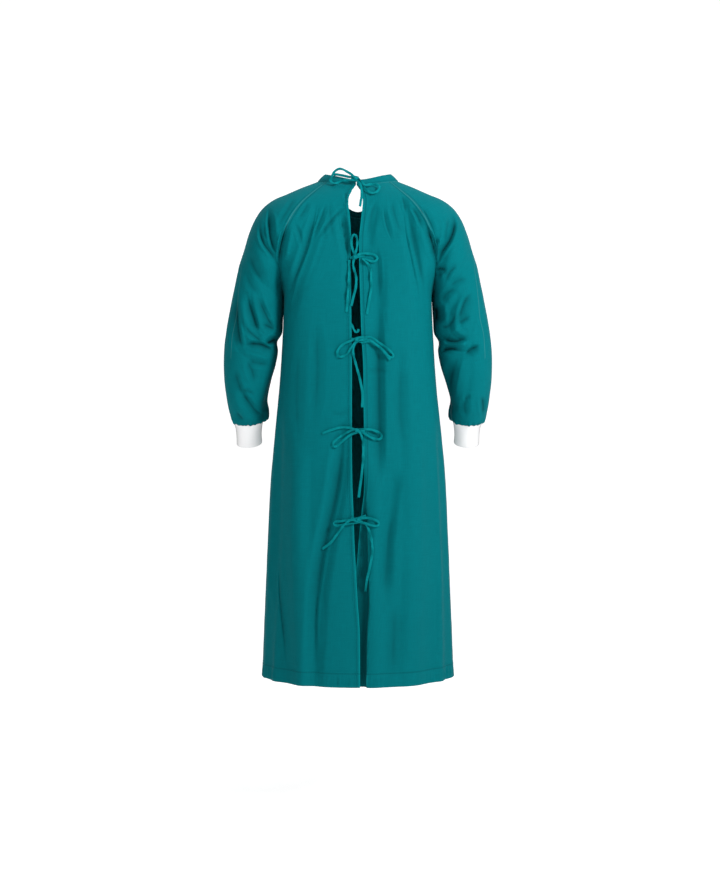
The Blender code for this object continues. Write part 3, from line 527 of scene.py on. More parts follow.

# %% [markdown]
# ## The small creases
#
# Between the large folds lie creases that come from wear: tight ones that run from the armpit, short ones
# at the elbow, and lines that packing has pressed in. They are sharper at the bottom than a fold, and
# steeper on one side. `lean` is that difference: above nothing, the side on the left of the line's
# direction is the wide one. Each was placed one by one, and the hidden front has its own.

# %% Table of small creases
CREASES = {
    "back": folds(
        # the upper back
        (3.4, 10, .4, (-42, -88), (-36, -125), (-28, -170), (-22, -204)),
        (2.6, 8, .2, (-32, -34), (-29, -52), (-26, -74)),
        (-3.2, 13, .5, (-88, -60), (-97, -106), (-105, -138), (-115, -174), (-131, -217), (-147, -257),
         (-158, -297), (-170, -345)),
        (4, 10, -.4, (-97, -64), (-105, -108), (-113, -140), (-123, -176), (-139, -219), (-155, -259),
         (-168, -305)),
        (3, 8, 0, (-29, -70), (-61, -105), (-101, -157)),
        (2.4, 8, .2, (-76, -62), (-84, -92), (-96, -122), (-110, -160)),
        (2.2, 8, -.2, (-150, -112), (-136, -142), (-130, -180)),
        (2.8, 7, .3, (60, -75), (66, -115), (80, -160)),
        (2.6, 8, .3, (150, -70), (164, -100), (182, -142)),
        (2.2, 9, 0, (-117, -61), (-127, -83), (-144, -108)),
        (2.4, 12, .2, (43, -56), (30, -100), (22, -165)),
        (3, 9, .3, (104, -45), (109, -66), (112, -90)),
        (3.6, 13, .3, (125, -73), (140, -96), (153, -132)),
        (-3, 8, .3, (109, -75), (117, -136), (127, -183), (137, -232), (151, -295), (160, -350)),
        (2.6, 13, .2, (117, -80), (126, -138), (137, -186), (149, -234), (163, -300)),
        (2.6, 12, -.2, (45, -170), (49, -230), (50, -300)),
        (1.6, 12, 0, (78, -50), (88, -100), (108, -150)),
        (1.4, 12, 0, (-70, -55), (-64, -110), (-58, -160)),
        # tight creases into the armpits
        (7.8, 12, .3, (-166, -112), (-179, -148), (-186, -178), (-187, -206)),
        (7.2, 12, -.3, (156, -112), (172, -146), (181, -177), (186, -206)),
        (4.6, 9, -.2, (184, -142), (188, -166), (188, -192)),
        (7.4, 11, .3, (-214, -70), (-212, -116), (-206, -157), (-190, -190)),
        (6.2, 14, .3, (-235, -102), (-232, -137), (-223, -163), (-204, -188), (-186, -218)),
        (2.2, 12, 0, (-151, -50), (-163, -75), (-196, -132)),
        (2, 10, .2, (-224, -110), (-222, -135), (-212, -158)),
        (8, 12, -.3, (228, -80), (231, -116), (220, -151), (200, -182), (185, -213)),
        (2.4, 10, 0, (218, -92), (210, -129), (206, -166)),
        (7, 9, 0, (184, -219), (198, -218), (214, -222)),
        (4, 10, .2, (186, -236), (202, -229), (214, -224)),
        (4, 11, .2, (207, -250), (221, -226), (240, -210)),
        (3, 14, 0, (214, -262), (240, -246), (262, -240)),
        # the upper left sleeve
        (3, 16, .2, (-262, -176), (-246, -220), (-226, -250)),
        (2.4, 14, 0, (-270, -222), (-256, -256), (-236, -280)),
        (5.6, 14, -.4, (-267, -274), (-258, -305), (-248, -336), (-243, -354), (-236, -381)),
        (-3, 10, .4, (-257, -268), (-246, -308), (-238, -338), (-233, -366)),
        (4.8, 13, -.3, (-243, -276), (-227, -312), (-212, -342), (-199, -362)),
        (-3.6, 10, .3, (-236, -262), (-219, -302), (-204, -332), (-193, -350)),
        (4.4, 16, 0, (-230, -348), (-212, -356), (-197, -362)),
        (4, 12, 0, (-279, -340), (-260, -367), (-239, -385), (-232, -397)),
        (-3.6, 12, 0, (-292, -314), (-289, -348), (-279, -398), (-260, -420), (-229, -430), (-203, -434)),
        (5.8, 19, -.4, (-289.5, -256), (-289, -330), (-282, -386), (-274, -410)),
        (-2.6, 12, .4, (-276, -290), (-274, -335), (-268, -375)),
        # the left elbow and forearm
        (10, 10, 0, (-222, -397), (-208, -389), (-192, -378)),
        (6.6, 14, -.4, (-276, -402), (-248, -396), (-223, -401), (-200, -418)),
        (3.2, 14, 0, (-270, -436), (-240, -443), (-206, -446)),
        (3.4, 16, 0, (-268, -436), (-255, -459), (-248, -495)),
        (-1.4, 7, 0, (-316, -350), (-310, -395), (-304, -435)),
        (4.4, 15, -.4, (-290, -496), (-274, -520), (-255, -547), (-242, -560), (-222, -566)),
        (-3.2, 10, .3, (-283, -488), (-268, -512), (-248, -538), (-232, -551)),
        (2.6, 9, 0, (-286, -508), (-264, -510), (-246, -519)),
        (3.4, 18, -.3, (-296, -455), (-288, -490), (-278, -514)),
        (3.6, 11, -.3, (-298, -556), (-287, -568), (-278, -580)),
        # the upper right sleeve
        (3.4, 13, 0, (199, -300), (214, -276), (240, -264)),
        (-3.2, 11, 0, (252, -278), (226, -290), (210, -314), (204, -338)),
        (10, 18, 0, (183, -296), (190, -322), (184, -348)),
        (4.8, 16, .3, (275, -270), (257, -292), (246, -320), (240, -345)),
        (4.8, 15, 0, (194, -350), (212, -356), (228, -340), (238, -300)),
        (-3.8, 12, 0, (246, -284), (233, -326), (234, -362), (252, -377), (270, -374)),
        (4.4, 15, .3, (240, -352), (252, -342), (272, -332)),
        (-1.8, 7, 0, (288, -262), (286, -330), (274, -386)),
        # the right elbow and forearm
        (6.6, 17, .3, (196, -372), (219, -389), (242, -390), (268, -376)),
        (-5, 13, 0, (184, -370), (204, -398), (231, -402), (257, -401), (274, -392)),
        (7.2, 14, .4, (199, -417), (213, -410), (229, -409), (253, -416)),
        (6, 14, -.4, (255, -424), (270, -409), (296, -398)),
        (-4.4, 14, .5, (252, -418), (243, -470), (237, -512), (234, -550)),
        (5.2, 18, -.3, (238, -424), (228, -472), (224, -512), (222, -556)),
        (3, 9, 0, (256, -533), (264, -524), (272, -527)),
        (5, 15, .2, (298, -518), (303, -542), (303, -572)),
        (2.6, 14, 0, (262, -522), (258, -546), (262, -572)),
        # the skirt
        (4.6, 18, -.4, (-32, -575), (-37, -648), (-48, -742), (-66, -828), (-84, -910), (-98, -1020),
         (-104, -1150)),
        (4, 20, -.2, (50, -300), (49.5, -400), (50, -520), (52, -640), (50, -740)),
        (3.2, 10, .4, (-195, -925), (-189, -979), (-179, -1066), (-168, -1180)),
        (2, 30, 0, (86, -1000), (84, -1090), (80, -1200)),
        (-3, 10, .4, (-92, -980), (-94, -1060), (-96, -1150)),
        (-2.6, 8, .4, (-187, -950), (-183, -1000), (-175, -1075), (-165, -1150)),
        (-1.4, 7, 0, (-222, -880), (-216, -960), (-206, -1050)),
        (-1.4, 7, 0, (196, -940), (194, -1040), (191, -1140)),
        (2.2, 22, .2, (84, -780), (72, -850), (66, -930), (62, -1030)),
        (1.8, 20, 0, (-100, -330), (-96, -460), (-104, -600)),
        (1.6, 22, 0, (104, -420), (98, -540), (108, -660)),
        (1.4, 18, 0, (-140, -400), (-146, -520), (-142, -640)),
        (1.2, 14, 0, (12, -470), (46, -462), (80, -474)),
        (1.2, 12, 0, (-16, -560), (-44, -566), (-70, -560)),
    ),
    "front": folds(
        (3, 16, .2, (-20, -95), (-40, -150), (-52, -230)),
        (2.6, 14, .2, (26, -95), (44, -160), (50, -260)),
        (7, 13, .3, (150, -150), (164, -190), (172, -235)),
        (6.8, 13, -.3, (-150, -150), (-164, -190), (-172, -235)),
        (6.6, 13, .2, (216, -90), (212, -140), (196, -200), (180, -240)),
        (6.6, 13, -.2, (-220, -96), (-214, -146), (-197, -206), (-181, -246)),
        (3.6, 16, 0, (262, -180), (240, -236), (214, -270)),
        (3.6, 16, 0, (-258, -176), (-240, -230), (-216, -266)),
        (4, 15, .2, (250, -300), (240, -350), (226, -396)),
        (4, 15, .2, (-254, -296), (-244, -352), (-230, -392)),
        (6, 13, 0, (196, -396), (220, -402), (246, -394)),
        (6, 13, 0, (-198, -402), (-222, -400), (-250, -408)),
        (4, 13, 0, (212, -436), (246, -426), (286, -436)),
        (4, 13, 0, (-216, -432), (-250, -438), (-284, -426)),
        (3.6, 14, 0, (236, -500), (262, -524), (290, -530)),
        (3.6, 14, 0, (-240, -496), (-266, -516), (-292, -528)),
        (2.2, 20, 0, (90, -420), (96, -600), (104, -760)),
        (2.2, 20, 0, (-30, -420), (-26, -600), (-34, -760)),
        (1.6, 16, 0, (-90, -600), (-20, -590), (60, -604)),
        (3, 18, .2, (30, -900), (40, -1040), (44, -1200)),
        (3, 18, .2, (-108, -960), (-100, -1080), (-96, -1220)),
    ),
    "left": folds(
        (3, 20, 0, (-10, -520), (0, -760), (-14, -1020)),
    ),
    "right": folds(
        (3, 20, 0, (0, -500), (10, -760), (-6, -1060)),
    ),
}
print("folds and creases on the back:", len(FOLDS["back"]), len(CREASES["back"]))

# %% [markdown]
# ## Pressing the folds in
#
# Every point measures how far it is from a fold's line, seen flat from that side. A fold on the back moves
# only the points that face back, which `facing` says. Besides the new places, each point keeps how much
# painted shade its creases give it, and the material darkens the colour by that later on.

# %% How a fold presses the cloth in
ROUTE_STEPS = 15
FACE_SOFTNESS = .045
SIDE_FROM = .10
FOLD_FADE = .22
CREASE_FADE = .36
END_SHARE = .12
CREASE_FULL = .0060
CREASE_POWER = 1.3
CREASE_TIP = .55
LEAN_GAIN = 1.45
RIDGE_SHARE = .30
RIDGE_AT = 1.12
RIDGE_WIDTH = .30
RIDGE_REACH = 1.9
# Painted shade in a crease: a wide soft part and a narrow dark core.
SOFT_SHADE, SOFT_POWER = .62, 1.4
CORE_SHADE, CORE_POWER = .50, 4.5


def pressed(flat, row, power):
    """How much of a fold's depth each flat point has: 1 on its line, 0 at its width and its ends. A crease
    also pushes up a low ridge beside it, so it comes out below nothing there."""
    places = np.linspace(0, len(row.line) - 1, ROUTE_STEPS + 1)
    route = np.array([between(row.line, place) for place in places])
    reach = RIDGE_REACH * row.width * (1 + LEAN_GAIN * abs(row.lean))
    inside = np.all((flat > route.min(axis=0) - reach) & (flat < route.max(axis=0) + reach), axis=1)
    near = flat[inside]
    best = np.full(len(near), np.inf)
    along = np.zeros(len(near))
    side = np.zeros(len(near))
    for i, (a, b) in enumerate(zip(route[:-1], route[1:])):
        run = b - a
        share = np.clip((near - a) @ run / (run @ run), 0, 1)
        gap = near - a - share[:, None] * run
        away = np.linalg.norm(gap, axis=1)
        nearer = away < best
        best[nearer] = away[nearer]
        along[nearer] = (i + share[nearer]) / ROUTE_STEPS
        side[nearer] = np.sign(run[0] * gap[nearer, 1] - run[1] * gap[nearer, 0])
    fade = CREASE_FADE if power else FOLD_FADE
    ends = ease(along / fade + END_SHARE) * ease((1 - along) / fade + END_SHARE)
    if power:
        wide = row.width * (CREASE_TIP + (1 - CREASE_TIP) * ends) * (1 + LEAN_GAIN * row.lean * side)
        away = best / wide
        cross = np.clip(1 - away, 0, 1) ** power
        cross -= RIDGE_SHARE * np.exp(-(((away - RIDGE_AT) / RIDGE_WIDTH) ** 2))
    else:
        cross = np.clip(1 - (best / row.width) ** 2, 0, 1) ** 2
    depth = np.zeros(len(flat))
    depth[inside] = cross * ends
    return depth


def press(points, middle_y):
    """Moves the points in along each fold and crease, and gives the painted crease shade at each one."""
    moved = points.copy()
    painted_crease_shade = np.zeros(len(points))
    for face in FOLDS:
        sign = 1 if face in ("back", "left") else -1
        if face in ("back", "front"):
            flat, axis = points[:, [0, 2]], 1
            facing = ease(-sign * (points[:, 1] - middle_y) / FACE_SOFTNESS)
        else:
            flat, axis = points[:, [1, 2]], 0
            facing = ease(-sign * points[:, 0] / SIDE_FROM - 1)
        for row in FOLDS[face]:
            moved[:, axis] += sign * row.depth * facing * pressed(flat, row, 0)
        for row in CREASES[face]:
            share = facing * pressed(flat, row, CREASE_POWER)
            moved[:, axis] += sign * row.depth * share
            # Painted shade: how much each crease darkens the colour here, most at its bottom.
            share = np.clip(share, 0, 1)
            shade = SOFT_SHADE * share**SOFT_POWER + CORE_SHADE * share**CORE_POWER
            painted_crease_shade += max(row.depth, 0) * shade / CREASE_FULL
    return moved, painted_crease_shade


sample = np.array([(.045, -.140, -.450)])
print("a point of the back goes in by", (press(sample, 0.0)[0] - sample).round(4))

# %% [markdown]
# Two layers of smooth noise add the unevenness that no table holds: slow waves, longer down the gown than
# across it, and fine rumples. They move each point along `outward`, the direction out of the cloth. Where
# the right back dips under the left one, it lies in shade, so that part counts as a crease.

# %% Waviness, and the panels with all their folds
WAVE_DEPTH = .0011
WAVE_SCALE = (9.0, 9.0, 3.78)
RUMPLE_DEPTH = .00030
RUMPLE_SCALE = (34.0, 34.0, 34.0)
RUMPLE_SHIFT = 7
UNDERLAP_SHADE = .42


def noise_at(points, scale, shift=0):
    return np.array([noise.noise(Vector(place)) for place in points * scale + (0, 0, shift)])


def outward(points):
    """The direction out of the cloth at every point of a grid."""
    faces = np.cross(points[1:, 1:] - points[:-1, :-1], points[:-1, 1:] - points[1:, :-1])
    normals = np.zeros_like(points)
    for columns in (slice(None, -1), slice(1, None)):
        for rows in (slice(None, -1), slice(1, None)):
            normals[rows, columns] += faces
    return normals / np.maximum(np.linalg.norm(normals, axis=2), 1e-12)[:, :, None]


def hung(grid, middle_y=0.0):
    """A grid with its folds, its creases and the cloth's own slight unevenness, and the painted crease shade
    of each point."""
    flat = grid.points.reshape(-1, 3)
    moved, painted_crease_shade = press(flat, np.broadcast_to(middle_y, grid.across.shape).reshape(-1))
    wave = WAVE_DEPTH * noise_at(flat, WAVE_SCALE) + RUMPLE_DEPTH * noise_at(flat, RUMPLE_SCALE, RUMPLE_SHIFT)
    moved = moved.reshape(grid.points.shape)
    moved += wave.reshape(grid.across.shape)[:, :, None] * outward(moved)
    return Grid(moved, grid.across, grid.down), painted_crease_shade.reshape(grid.across.shape)


arm_middles = [row_at(SLEEVE, max(place - ARMPIT, 0)).middle_y for place in sleeve_places()]
arm_middles = np.array(arm_middles)[:, None]
panels = {
    "back_right": hung(right_back),
    "back_left": hung(left_back),
    "front": hung(front),
    "sleeve_right": hung(right_sleeve, arm_middles),
    "sleeve_left": hung(left_sleeve, arm_middles),
}
edges = [edge_at(z) for z in right_back.points[:, 0, 2]]
from_crest = np.array([edge.right_crest - CREST_BACK for edge in edges])[:, None] - right_back.points[:, :, 0]
dips = np.array([edge.dip for edge in edges])[:, None] / EDGES[-1].dip
# Painted shade where the right back dips under the left one.
panels["back_right"][1][:] += UNDERLAP_SHADE * dips * ease(from_crest / DIP_WIDTH)
print("deepest crease:", round(max(float(depth.max()) for _, depth in panels.values()), 2))

# %% [markdown]
# ## Nodes that are written as sums
#
# A material is arithmetic on a few measures. `Wire` stands for an output of a node, and each sum or product
# with it adds the Math node that works it out, so that the formulas below read like formulas.

# %% Wires, nodes and groups


class Wire:
    """One output of a node in a tree."""

    def __init__(self, tree, socket):
        self.tree = tree
        self.socket = socket

    def __getitem__(self, label):
        """Another output of the same node."""
        return Wire(self.tree, self.socket.node.outputs[label])

    def math(self, operation, *others):
        return add_node(self.tree, "Math", dict(enumerate((self, *others))), operation=operation)

    def __add__(self, other):
        return self.math("ADD", other)

    def __sub__(self, other):
        return self.math("SUBTRACT", other)

    def __rsub__(self, other):
        return self.math("MULTIPLY_ADD", -1.0, other)

    def __mul__(self, other):
        return self.math("MULTIPLY", other)

    def __truediv__(self, other):
        return self.math("DIVIDE", other)

    def below(self, limit):
        return self.math("MINIMUM", limit)

    def above(self, limit):
        return self.math("MAXIMUM", limit)


def feed(tree, value, socket):
    if isinstance(value, Wire):
        tree.links.new(value.socket, socket)
    else:
        socket.default_value = value


def add_node(tree, kind, inputs, output=0, **settings):
    """The output of a new node. `inputs` says what feeds its sockets, by number or by label."""
    node = tree.nodes.new("ShaderNode" + kind)
    for label, value in settings.items():
        setattr(node, label, value)
    for label, value in inputs.items():
        feed(tree, value, node.inputs[label])
    return Wire(tree, node.outputs[output])


def add_noise(tree, vector, scale, detail=2.0):
    return add_node(tree, "TexNoise", {"Vector": vector, "Scale": scale, "Detail": detail}, "Fac")


def group(name, inputs, work):
    """A node group: its inputs, a vector where there is no value, and the outputs that `work` makes."""
    tree = bpy.data.node_groups.new(name, "ShaderNodeTree")
    for label, value in inputs.items():
        kind = "NodeSocketVector" if value is None else "NodeSocketFloat"
        socket = tree.interface.new_socket(label, in_out="INPUT", socket_type=kind)
        if value is not None:
            socket.default_value = value
    inside = tree.nodes.new("NodeGroupInput")
    made = work(tree, *(Wire(tree, inside.outputs[label]) for label in inputs))
    for label in made:
        tree.interface.new_socket(label, in_out="OUTPUT", socket_type="NodeSocketFloat")
    outside = tree.nodes.new("NodeGroupOutput")
    for label, value in made.items():
        feed(tree, value, outside.inputs[label])
    print("group:", name)
    return tree


# %% [markdown]
# ## Weave, stitches and soft colour as node groups
#
# The plain weave is one sine across the cloth times one along it: threads pass over and under in turn.
# Real yarn isn't even, so two noises, each stretched along its own threads, add slubs to the tone.

# %% Node group: plain weave
SLUB_ALONG, SLUB_ACROSS = 26, 900


def plain_weave(tree, cut, threads, slub):
    split = add_node(tree, "SeparateXYZ", {0: cut})
    weft, warp = ((split[axis] * (threads * math.pi)).math("SINE") for axis in "XY")
    slubs = [
        add_noise(tree, add_node(tree, "Mapping", {"Vector": cut, "Scale": scale}), 1.0)
        for scale in ((SLUB_ACROSS, SLUB_ALONG, 1), (SLUB_ALONG, SLUB_ACROSS, 1))
    ]
    return {"Height": weft * warp * .5 + .5, "Tone": (slubs[0] + slubs[1] - 1.0) * slub + 1.0}


weave = group("plain_weave", {"Cut": None, "Threads per metre": 2100.0, "Slub": 1.0}, plain_weave)

# %% [markdown]
# A stitch line needs two things from the cloth: how far a point is from the line, and how far along the
# line it is. Both are stored on the points as attributes. The dashes are the positive half of a sine.

# %% Node group: stitch line
STITCH_LENGTH = .0026
THREAD_WIDTH = .00045
PULL_WIDTH = .0022


def stitch_line(tree, gap, run):
    on_line = 1 - (gap / THREAD_WIDTH).math("SMOOTH_MIN", 1.0, .2)
    dash = (((run * (2 * math.pi / STITCH_LENGTH)).math("SINE") + .45) * 1.6).above(0.0).below(1.0)
    pull = 1 - (gap / PULL_WIDTH).below(1.0)
    return {"Thread": (on_line * dash).above(0.0), "Pull": pull * pull}


stitches = group("stitch_line", {"Gap": 0.0, "Run": 0.0}, stitch_line)

# %% [markdown]
# Dyed cloth that has been laundered is never one flat colour. A large noise and a finer one, both on the
# object's own coordinates, change its tone by a few hundredths. The group can also paint light in: the tone
# grows paler upwards and darker downwards, by a given share for each metre of height.

# %% Node group: washed tone and painted light


def washed_tone_and_painted_light(tree, place, large, fine, painted_light_upwards):
    slow = (add_noise(tree, place, 5.0) - .5) * large
    quick = (add_noise(tree, place, 90.0, 4.0) - .5) * fine
    # The height term is painted light: paler towards the top and darker towards the hem.
    return {"Tone": add_node(tree, "SeparateXYZ", {0: place}, "Z") * painted_light_upwards + 1.0 + slow + quick}


washed_and_painted_light = group("washed_tone_and_painted_light", {"Place": None, "Large": .07, "Fine": .05, "Painted light upwards": 0.0}, washed_tone_and_painted_light)

# %% [markdown]
# ## The woven cloth's material
#
# Matt poly-cotton scatters light evenly, and its fuzz catches some at a glancing angle, which is why the
# shoulders look paler and greyer than the rest. The Principled shader's Sheen does that. Its weight,
# tint and roughness are the same all over, so they are set on the shader's own sockets. The base colour
# is the dye times the tones from the groups, with painted light paler upwards, painted shade in creases
# and stitch grooves, painted sheen on seams and the pressed line, a painted highlight on folded edges,
# and the thread on top.

# %% Materials for cloth, band and tape
TEAL = (.0003, .150, .172, 1)
# Painted shade, for creases and the grooves that stitches pull.
TEAL_PAINTED_SHADE = (.0002, .010, .013, 1)
# A painted greyish sheen, for seams and the pressed line.
TEAL_PAINTED_SHEEN = (.060, .230, .235, 1)
# A painted highlight, for folded free edges and the crest of the underlap.
TEAL_PAINTED_HIGHLIGHT = (.0010, .270, .290, 1)
THREAD = (.0010, .215, .240, 1)
# The tape's teal is painted lighter than the gown's, for the light that the raised tapes catch.
TAPE_TEAL_PAINTED_LIGHTER = (.0008, .200, .220, 1)
# How strong the painted crease shade is, and its limit.
CREASE_SHADE = .72
DEEPEST_SHADE = .92
# Painted light: how much paler the cloth is made for each metre upwards.
PAINTED_LIGHT_UPWARDS = .16
PRESS_HALF = .0016
# How strongly the pressed line is painted with sheen.
PRESS_PAINTED_SHEEN = .42


def start_material(name, settings):
    """(material, tree, shader), with the shader's own sockets set."""
    material = bpy.data.materials.new(name)
    material.use_nodes = True
    shader = material.node_tree.nodes["Principled BSDF"]
    for label, value in settings.items():
        shader.inputs[label].default_value = value
    return material, material.node_tree, shader


def attribute(tree, name):
    return add_node(tree, "Attribute", {}, "Fac", attribute_name=name)


def finished(tree, shader, colour, tone, height, distance, shades=()):
    """Feeds the shader with the colour times its tone, mixed with each shade in turn, and with the bump."""
    colour = add_node(tree, "VectorMath", {0: colour[:3], "Scale": tone}, operation="SCALE")
    for share, shade in shades:
        colour = add_node(tree, "Mix", {"Factor": share, 6: colour, 7: shade}, 2, data_type="RGBA")
    feed(tree, colour, shader.inputs["Base Color"])
    bump = add_node(tree, "Bump", {"Strength": .8, "Distance": distance, "Height": height})
    feed(tree, bump, shader.inputs["Normal"])


def woven(name, dye, threads, sheen, slub=.30, sewn=True):
    material, tree, shader = start_material(name, {
        "Roughness": .78,
        "Metallic": 0.0,
        "Specular IOR Level": .03,
        "Sheen Weight": sheen,
        "Sheen Roughness": .25,
        "Sheen Tint": (.62, .86, .86, 1),
    })
    cut = add_node(tree, "UVMap", {}, uv_map="cut")
    place = add_node(tree, "TexCoord", {}, "Object")
    cloth = add_node(tree, "Group", {"Cut": cut, "Threads per metre": threads, "Slub": slub}, node_tree=weave)
    # Painted light: the tone is made paler upwards and darker towards the hem.
    wash_and_painted_light = add_node(tree, "Group", {"Place": place, "Painted light upwards": PAINTED_LIGHT_UPWARDS}, node_tree=washed_and_painted_light)
    tone = cloth["Tone"] * wash_and_painted_light * (cloth["Height"] * .10 + .95)
    height = cloth["Height"] * .25
    shades = []
    if sewn:
        gap, run = attribute(tree, "stitch_gap"), attribute(tree, "stitch_run")
        sewing = add_node(tree, "Group", {"Gap": gap, "Run": run}, node_tree=stitches)
        press_line = 1 - (attribute(tree, "press").math("ABSOLUTE") / PRESS_HALF).below(1.0)
        height = height + press_line * .8 + sewing["Thread"] * .9 - sewing["Pull"] * 1.1
        # Painted shade in creases and stitch grooves, painted sheen and highlights on seams and edges.
        shades = [
            ((attribute(tree, "crease") * CREASE_SHADE).below(DEEPEST_SHADE), TEAL_PAINTED_SHADE),
            (attribute(tree, "seam") * .55, TEAL_PAINTED_SHEEN),
            (attribute(tree, "fold") * .70, TEAL_PAINTED_HIGHLIGHT),
            (press_line * PRESS_PAINTED_SHEEN, TEAL_PAINTED_SHEEN),
            (sewing["Pull"] * .60, TEAL_PAINTED_SHADE),
            (sewing["Thread"], THREAD),
        ]
    finished(tree, shader, dye, tone, height, .00030, shades)
    return material


gown_cloth = woven("gown_cloth", TEAL, 2100.0, .028)
band_cloth = woven("band_cloth", TEAL, 2100.0, .028)
tie_tape = woven("tie_tape", TAPE_TEAL_PAINTED_LIGHTER, 1500.0, .03, .25, sewn=False)
print("materials:", gown_cloth.name, band_cloth.name, tie_tape.name)

# %% [markdown]
# ## White rib knit
#
# The ribs themselves are modelled, because they catch the light. The material adds the small V-shaped
# stitches of the knit: slanting sines that meet in the middle of each rib. It also paints shade into the
# valleys between ribs and towards the cuff's outline, and gives the white knit a painted glow.

# %% Material for the knit
RIB_WHITE = (.56, .56, .57, 1)
# A painted glow: the white knit emits light of its own.
RIB_PAINTED_GLOW = .43
RIB_EDGE_SHADE = .85
RIB_EDGE_POWER = 2.2
RIB_VALLEY_SHADE = .12
RIB_PITCH = .0026
KNIT_ROWS = 620.0
KNIT_SLANT = 1.4


def knitted(name):
    material, tree, shader = start_material(name, {
        "Roughness": .88,
        "Metallic": 0.0,
        "Specular IOR Level": .25,
        "Sheen Weight": .20,
        "Sheen Roughness": .60,
        "Sheen Tint": (1, 1, 1, 1),
        "Emission Color": (1, 1, 1, 1),
    })
    split = add_node(tree, "SeparateXYZ", {0: add_node(tree, "UVMap", {}, uv_map="cut")})
    slant = ((split["X"] / RIB_PITCH).math("FRACT") - .5).math("ABSOLUTE")
    climb = split["Y"] * KNIT_ROWS + slant * KNIT_SLANT
    loops = (climb * (2 * math.pi)).math("SINE") * .5 + .5
    place = add_node(tree, "TexCoord", {}, "Object")
    wash_and_painted_light = add_node(tree, "Group", {"Place": place, "Large": .03, "Fine": .03}, node_tree=washed_and_painted_light)
    # Painted shade in the valleys between ribs.
    valley = 1 - attribute(tree, "crease") * RIB_VALLEY_SHADE
    # Painted shade towards the outline, where the cuff turns away from the camera.
    turned = add_node(tree, "LayerWeight", {"Blend": .5}, "Facing")
    edge = 1 - turned.math("POWER", RIB_EDGE_POWER) * RIB_EDGE_SHADE
    finished(tree, shader, RIB_WHITE, wash_and_painted_light * (loops * .08 + .93) * valley * edge, loops, .00025)
    # The painted glow, weaker towards the outline.
    feed(tree, edge * RIB_PAINTED_GLOW, shader.inputs["Emission Strength"])
    return material


rib_knit = knitted("rib_knit")
print("material:", rib_knit.name)

# %% [markdown]
# ## From a grid to a piece of cloth
#
# Sewing shapes the cloth beside it. A hem is double and stands out a little, a seam sinks and swells next
# to its line, and each line of stitches pulls a small groove. The material needs the same distances, so
# they are kept as labels of the points.

# %% Sewn edges
HEM_SWELL = .00055
HEM_STEP = .0010
SEAM_SINK = .0007
SEAM_SINK_WIDTH = .0016
SEAM_SWELL = .00035
SEAM_SWELL_AT = .0034
SEAM_SWELL_WIDTH = .0030
PULL_DEPTH = .00035
PULL_HALF = .0012
NO_STITCH = .05
# How far from a seam its painted highlight reaches.
SEAM_HIGHLIGHT_WIDTH = .0020
# Below these heights the painted seam highlight fades out.
SEAM_FADES = -.150
SEAM_FADES_OVER = .05
# How far from a folded edge its painted highlight reaches.
EDGE_LIT = .0030


def sides_of(grid):
    """For each side of a piece, how far every point is from it and how far along it."""
    return {
        "left": (grid.across - grid.across[:, :1], grid.down),
        "right": (grid.across[:, -1:] - grid.across, grid.down),
        "top": (grid.down - grid.down[:1], grid.across),
        "bottom": (grid.down[-1:] - grid.down, grid.across),
    }


def sewn_edges(grid, lines):
    """How far the sewing lifts each point, and its labels: how far it is from and along a stitch line, how
    near a seam, whose rolled edge gets a painted highlight, and how near a folded edge, which gets a painted
    highlight too. A line is (side, kind): the side is left, right, top or bottom, and the kind is hem, edge
    or seam."""
    rise = np.zeros_like(grid.across)
    gap = np.full_like(grid.across, NO_STITCH)
    run = grid.down.copy()
    seam = np.zeros_like(grid.across)
    fold = np.zeros_like(grid.across)
    for side, kind in lines:
        away, along = sides_of(grid)[side]
        if kind == "seam":
            line = SEAM_STITCH
            rise += SEAM_SWELL * falls(np.abs(away - SEAM_SWELL_AT), SEAM_SWELL_WIDTH)
            rise -= SEAM_SINK * falls(away, SEAM_SINK_WIDTH)
            # Painted highlight along the seam's rolled edge.
            seam += falls(away, SEAM_HIGHLIGHT_WIDTH)
        else:
            band, line = (HEM, HEM_STITCH) if kind == "hem" else (EDGE_HEM, EDGE_STITCH)
            rise += HEM_SWELL * falls(away - band, HEM_STEP)
            # Painted highlight along a folded free edge.
            fold += falls(away, EDGE_LIT) if kind == "edge" else 0
        here = np.abs(away - line)
        rise -= PULL_DEPTH * falls(here, PULL_HALF)
        nearer = here < gap
        gap[nearer] = here[nearer]
        run[nearer] = along[nearer]
    # The painted highlight on seams shows only high up, towards the shoulders.
    seam *= ease((grid.points[:, :, 2] - SEAM_FADES) / SEAM_FADES_OVER)
    return rise, {"stitch_gap": gap, "stitch_run": run, "seam": seam, "fold": fold}


print("metres from the rim to its stitches:", SEAM_STITCH, EDGE_STITCH, HEM_STITCH)

# %% [markdown]
# A sheet with no thickness looks like paper and can't be printed. So each grid gets a second layer, a
# cloth's thickness inside the first, and a rim that joins the two: one closed body. The finished mesh
# carries the UV map of the cut, and the labels for sewing and creases as attributes.

# %% Thickness and the finished mesh
CLOTH_THICKNESS = .0009
SHARP_ANGLE = math.radians(55)


def new_piece(name, points, faces, cut, finish):
    """An object with its mesh, the UV map of its cut and its material."""
    mesh = bpy.data.meshes.new(name)
    mesh.from_pydata(np.asarray(points).tolist(), [], faces)
    mesh.update()
    corners = np.empty(len(mesh.loops), np.int32)
    mesh.loops.foreach_get("vertex_index", corners)
    mesh.uv_layers.new(name="cut").data.foreach_set("uv", cut[corners].astype(np.float32).reshape(-1))
    mesh.shade_smooth()
    mesh.materials.append(finish)
    piece = bpy.data.objects.new(name, mesh)
    bpy.context.scene.collection.objects.link(piece)
    return piece


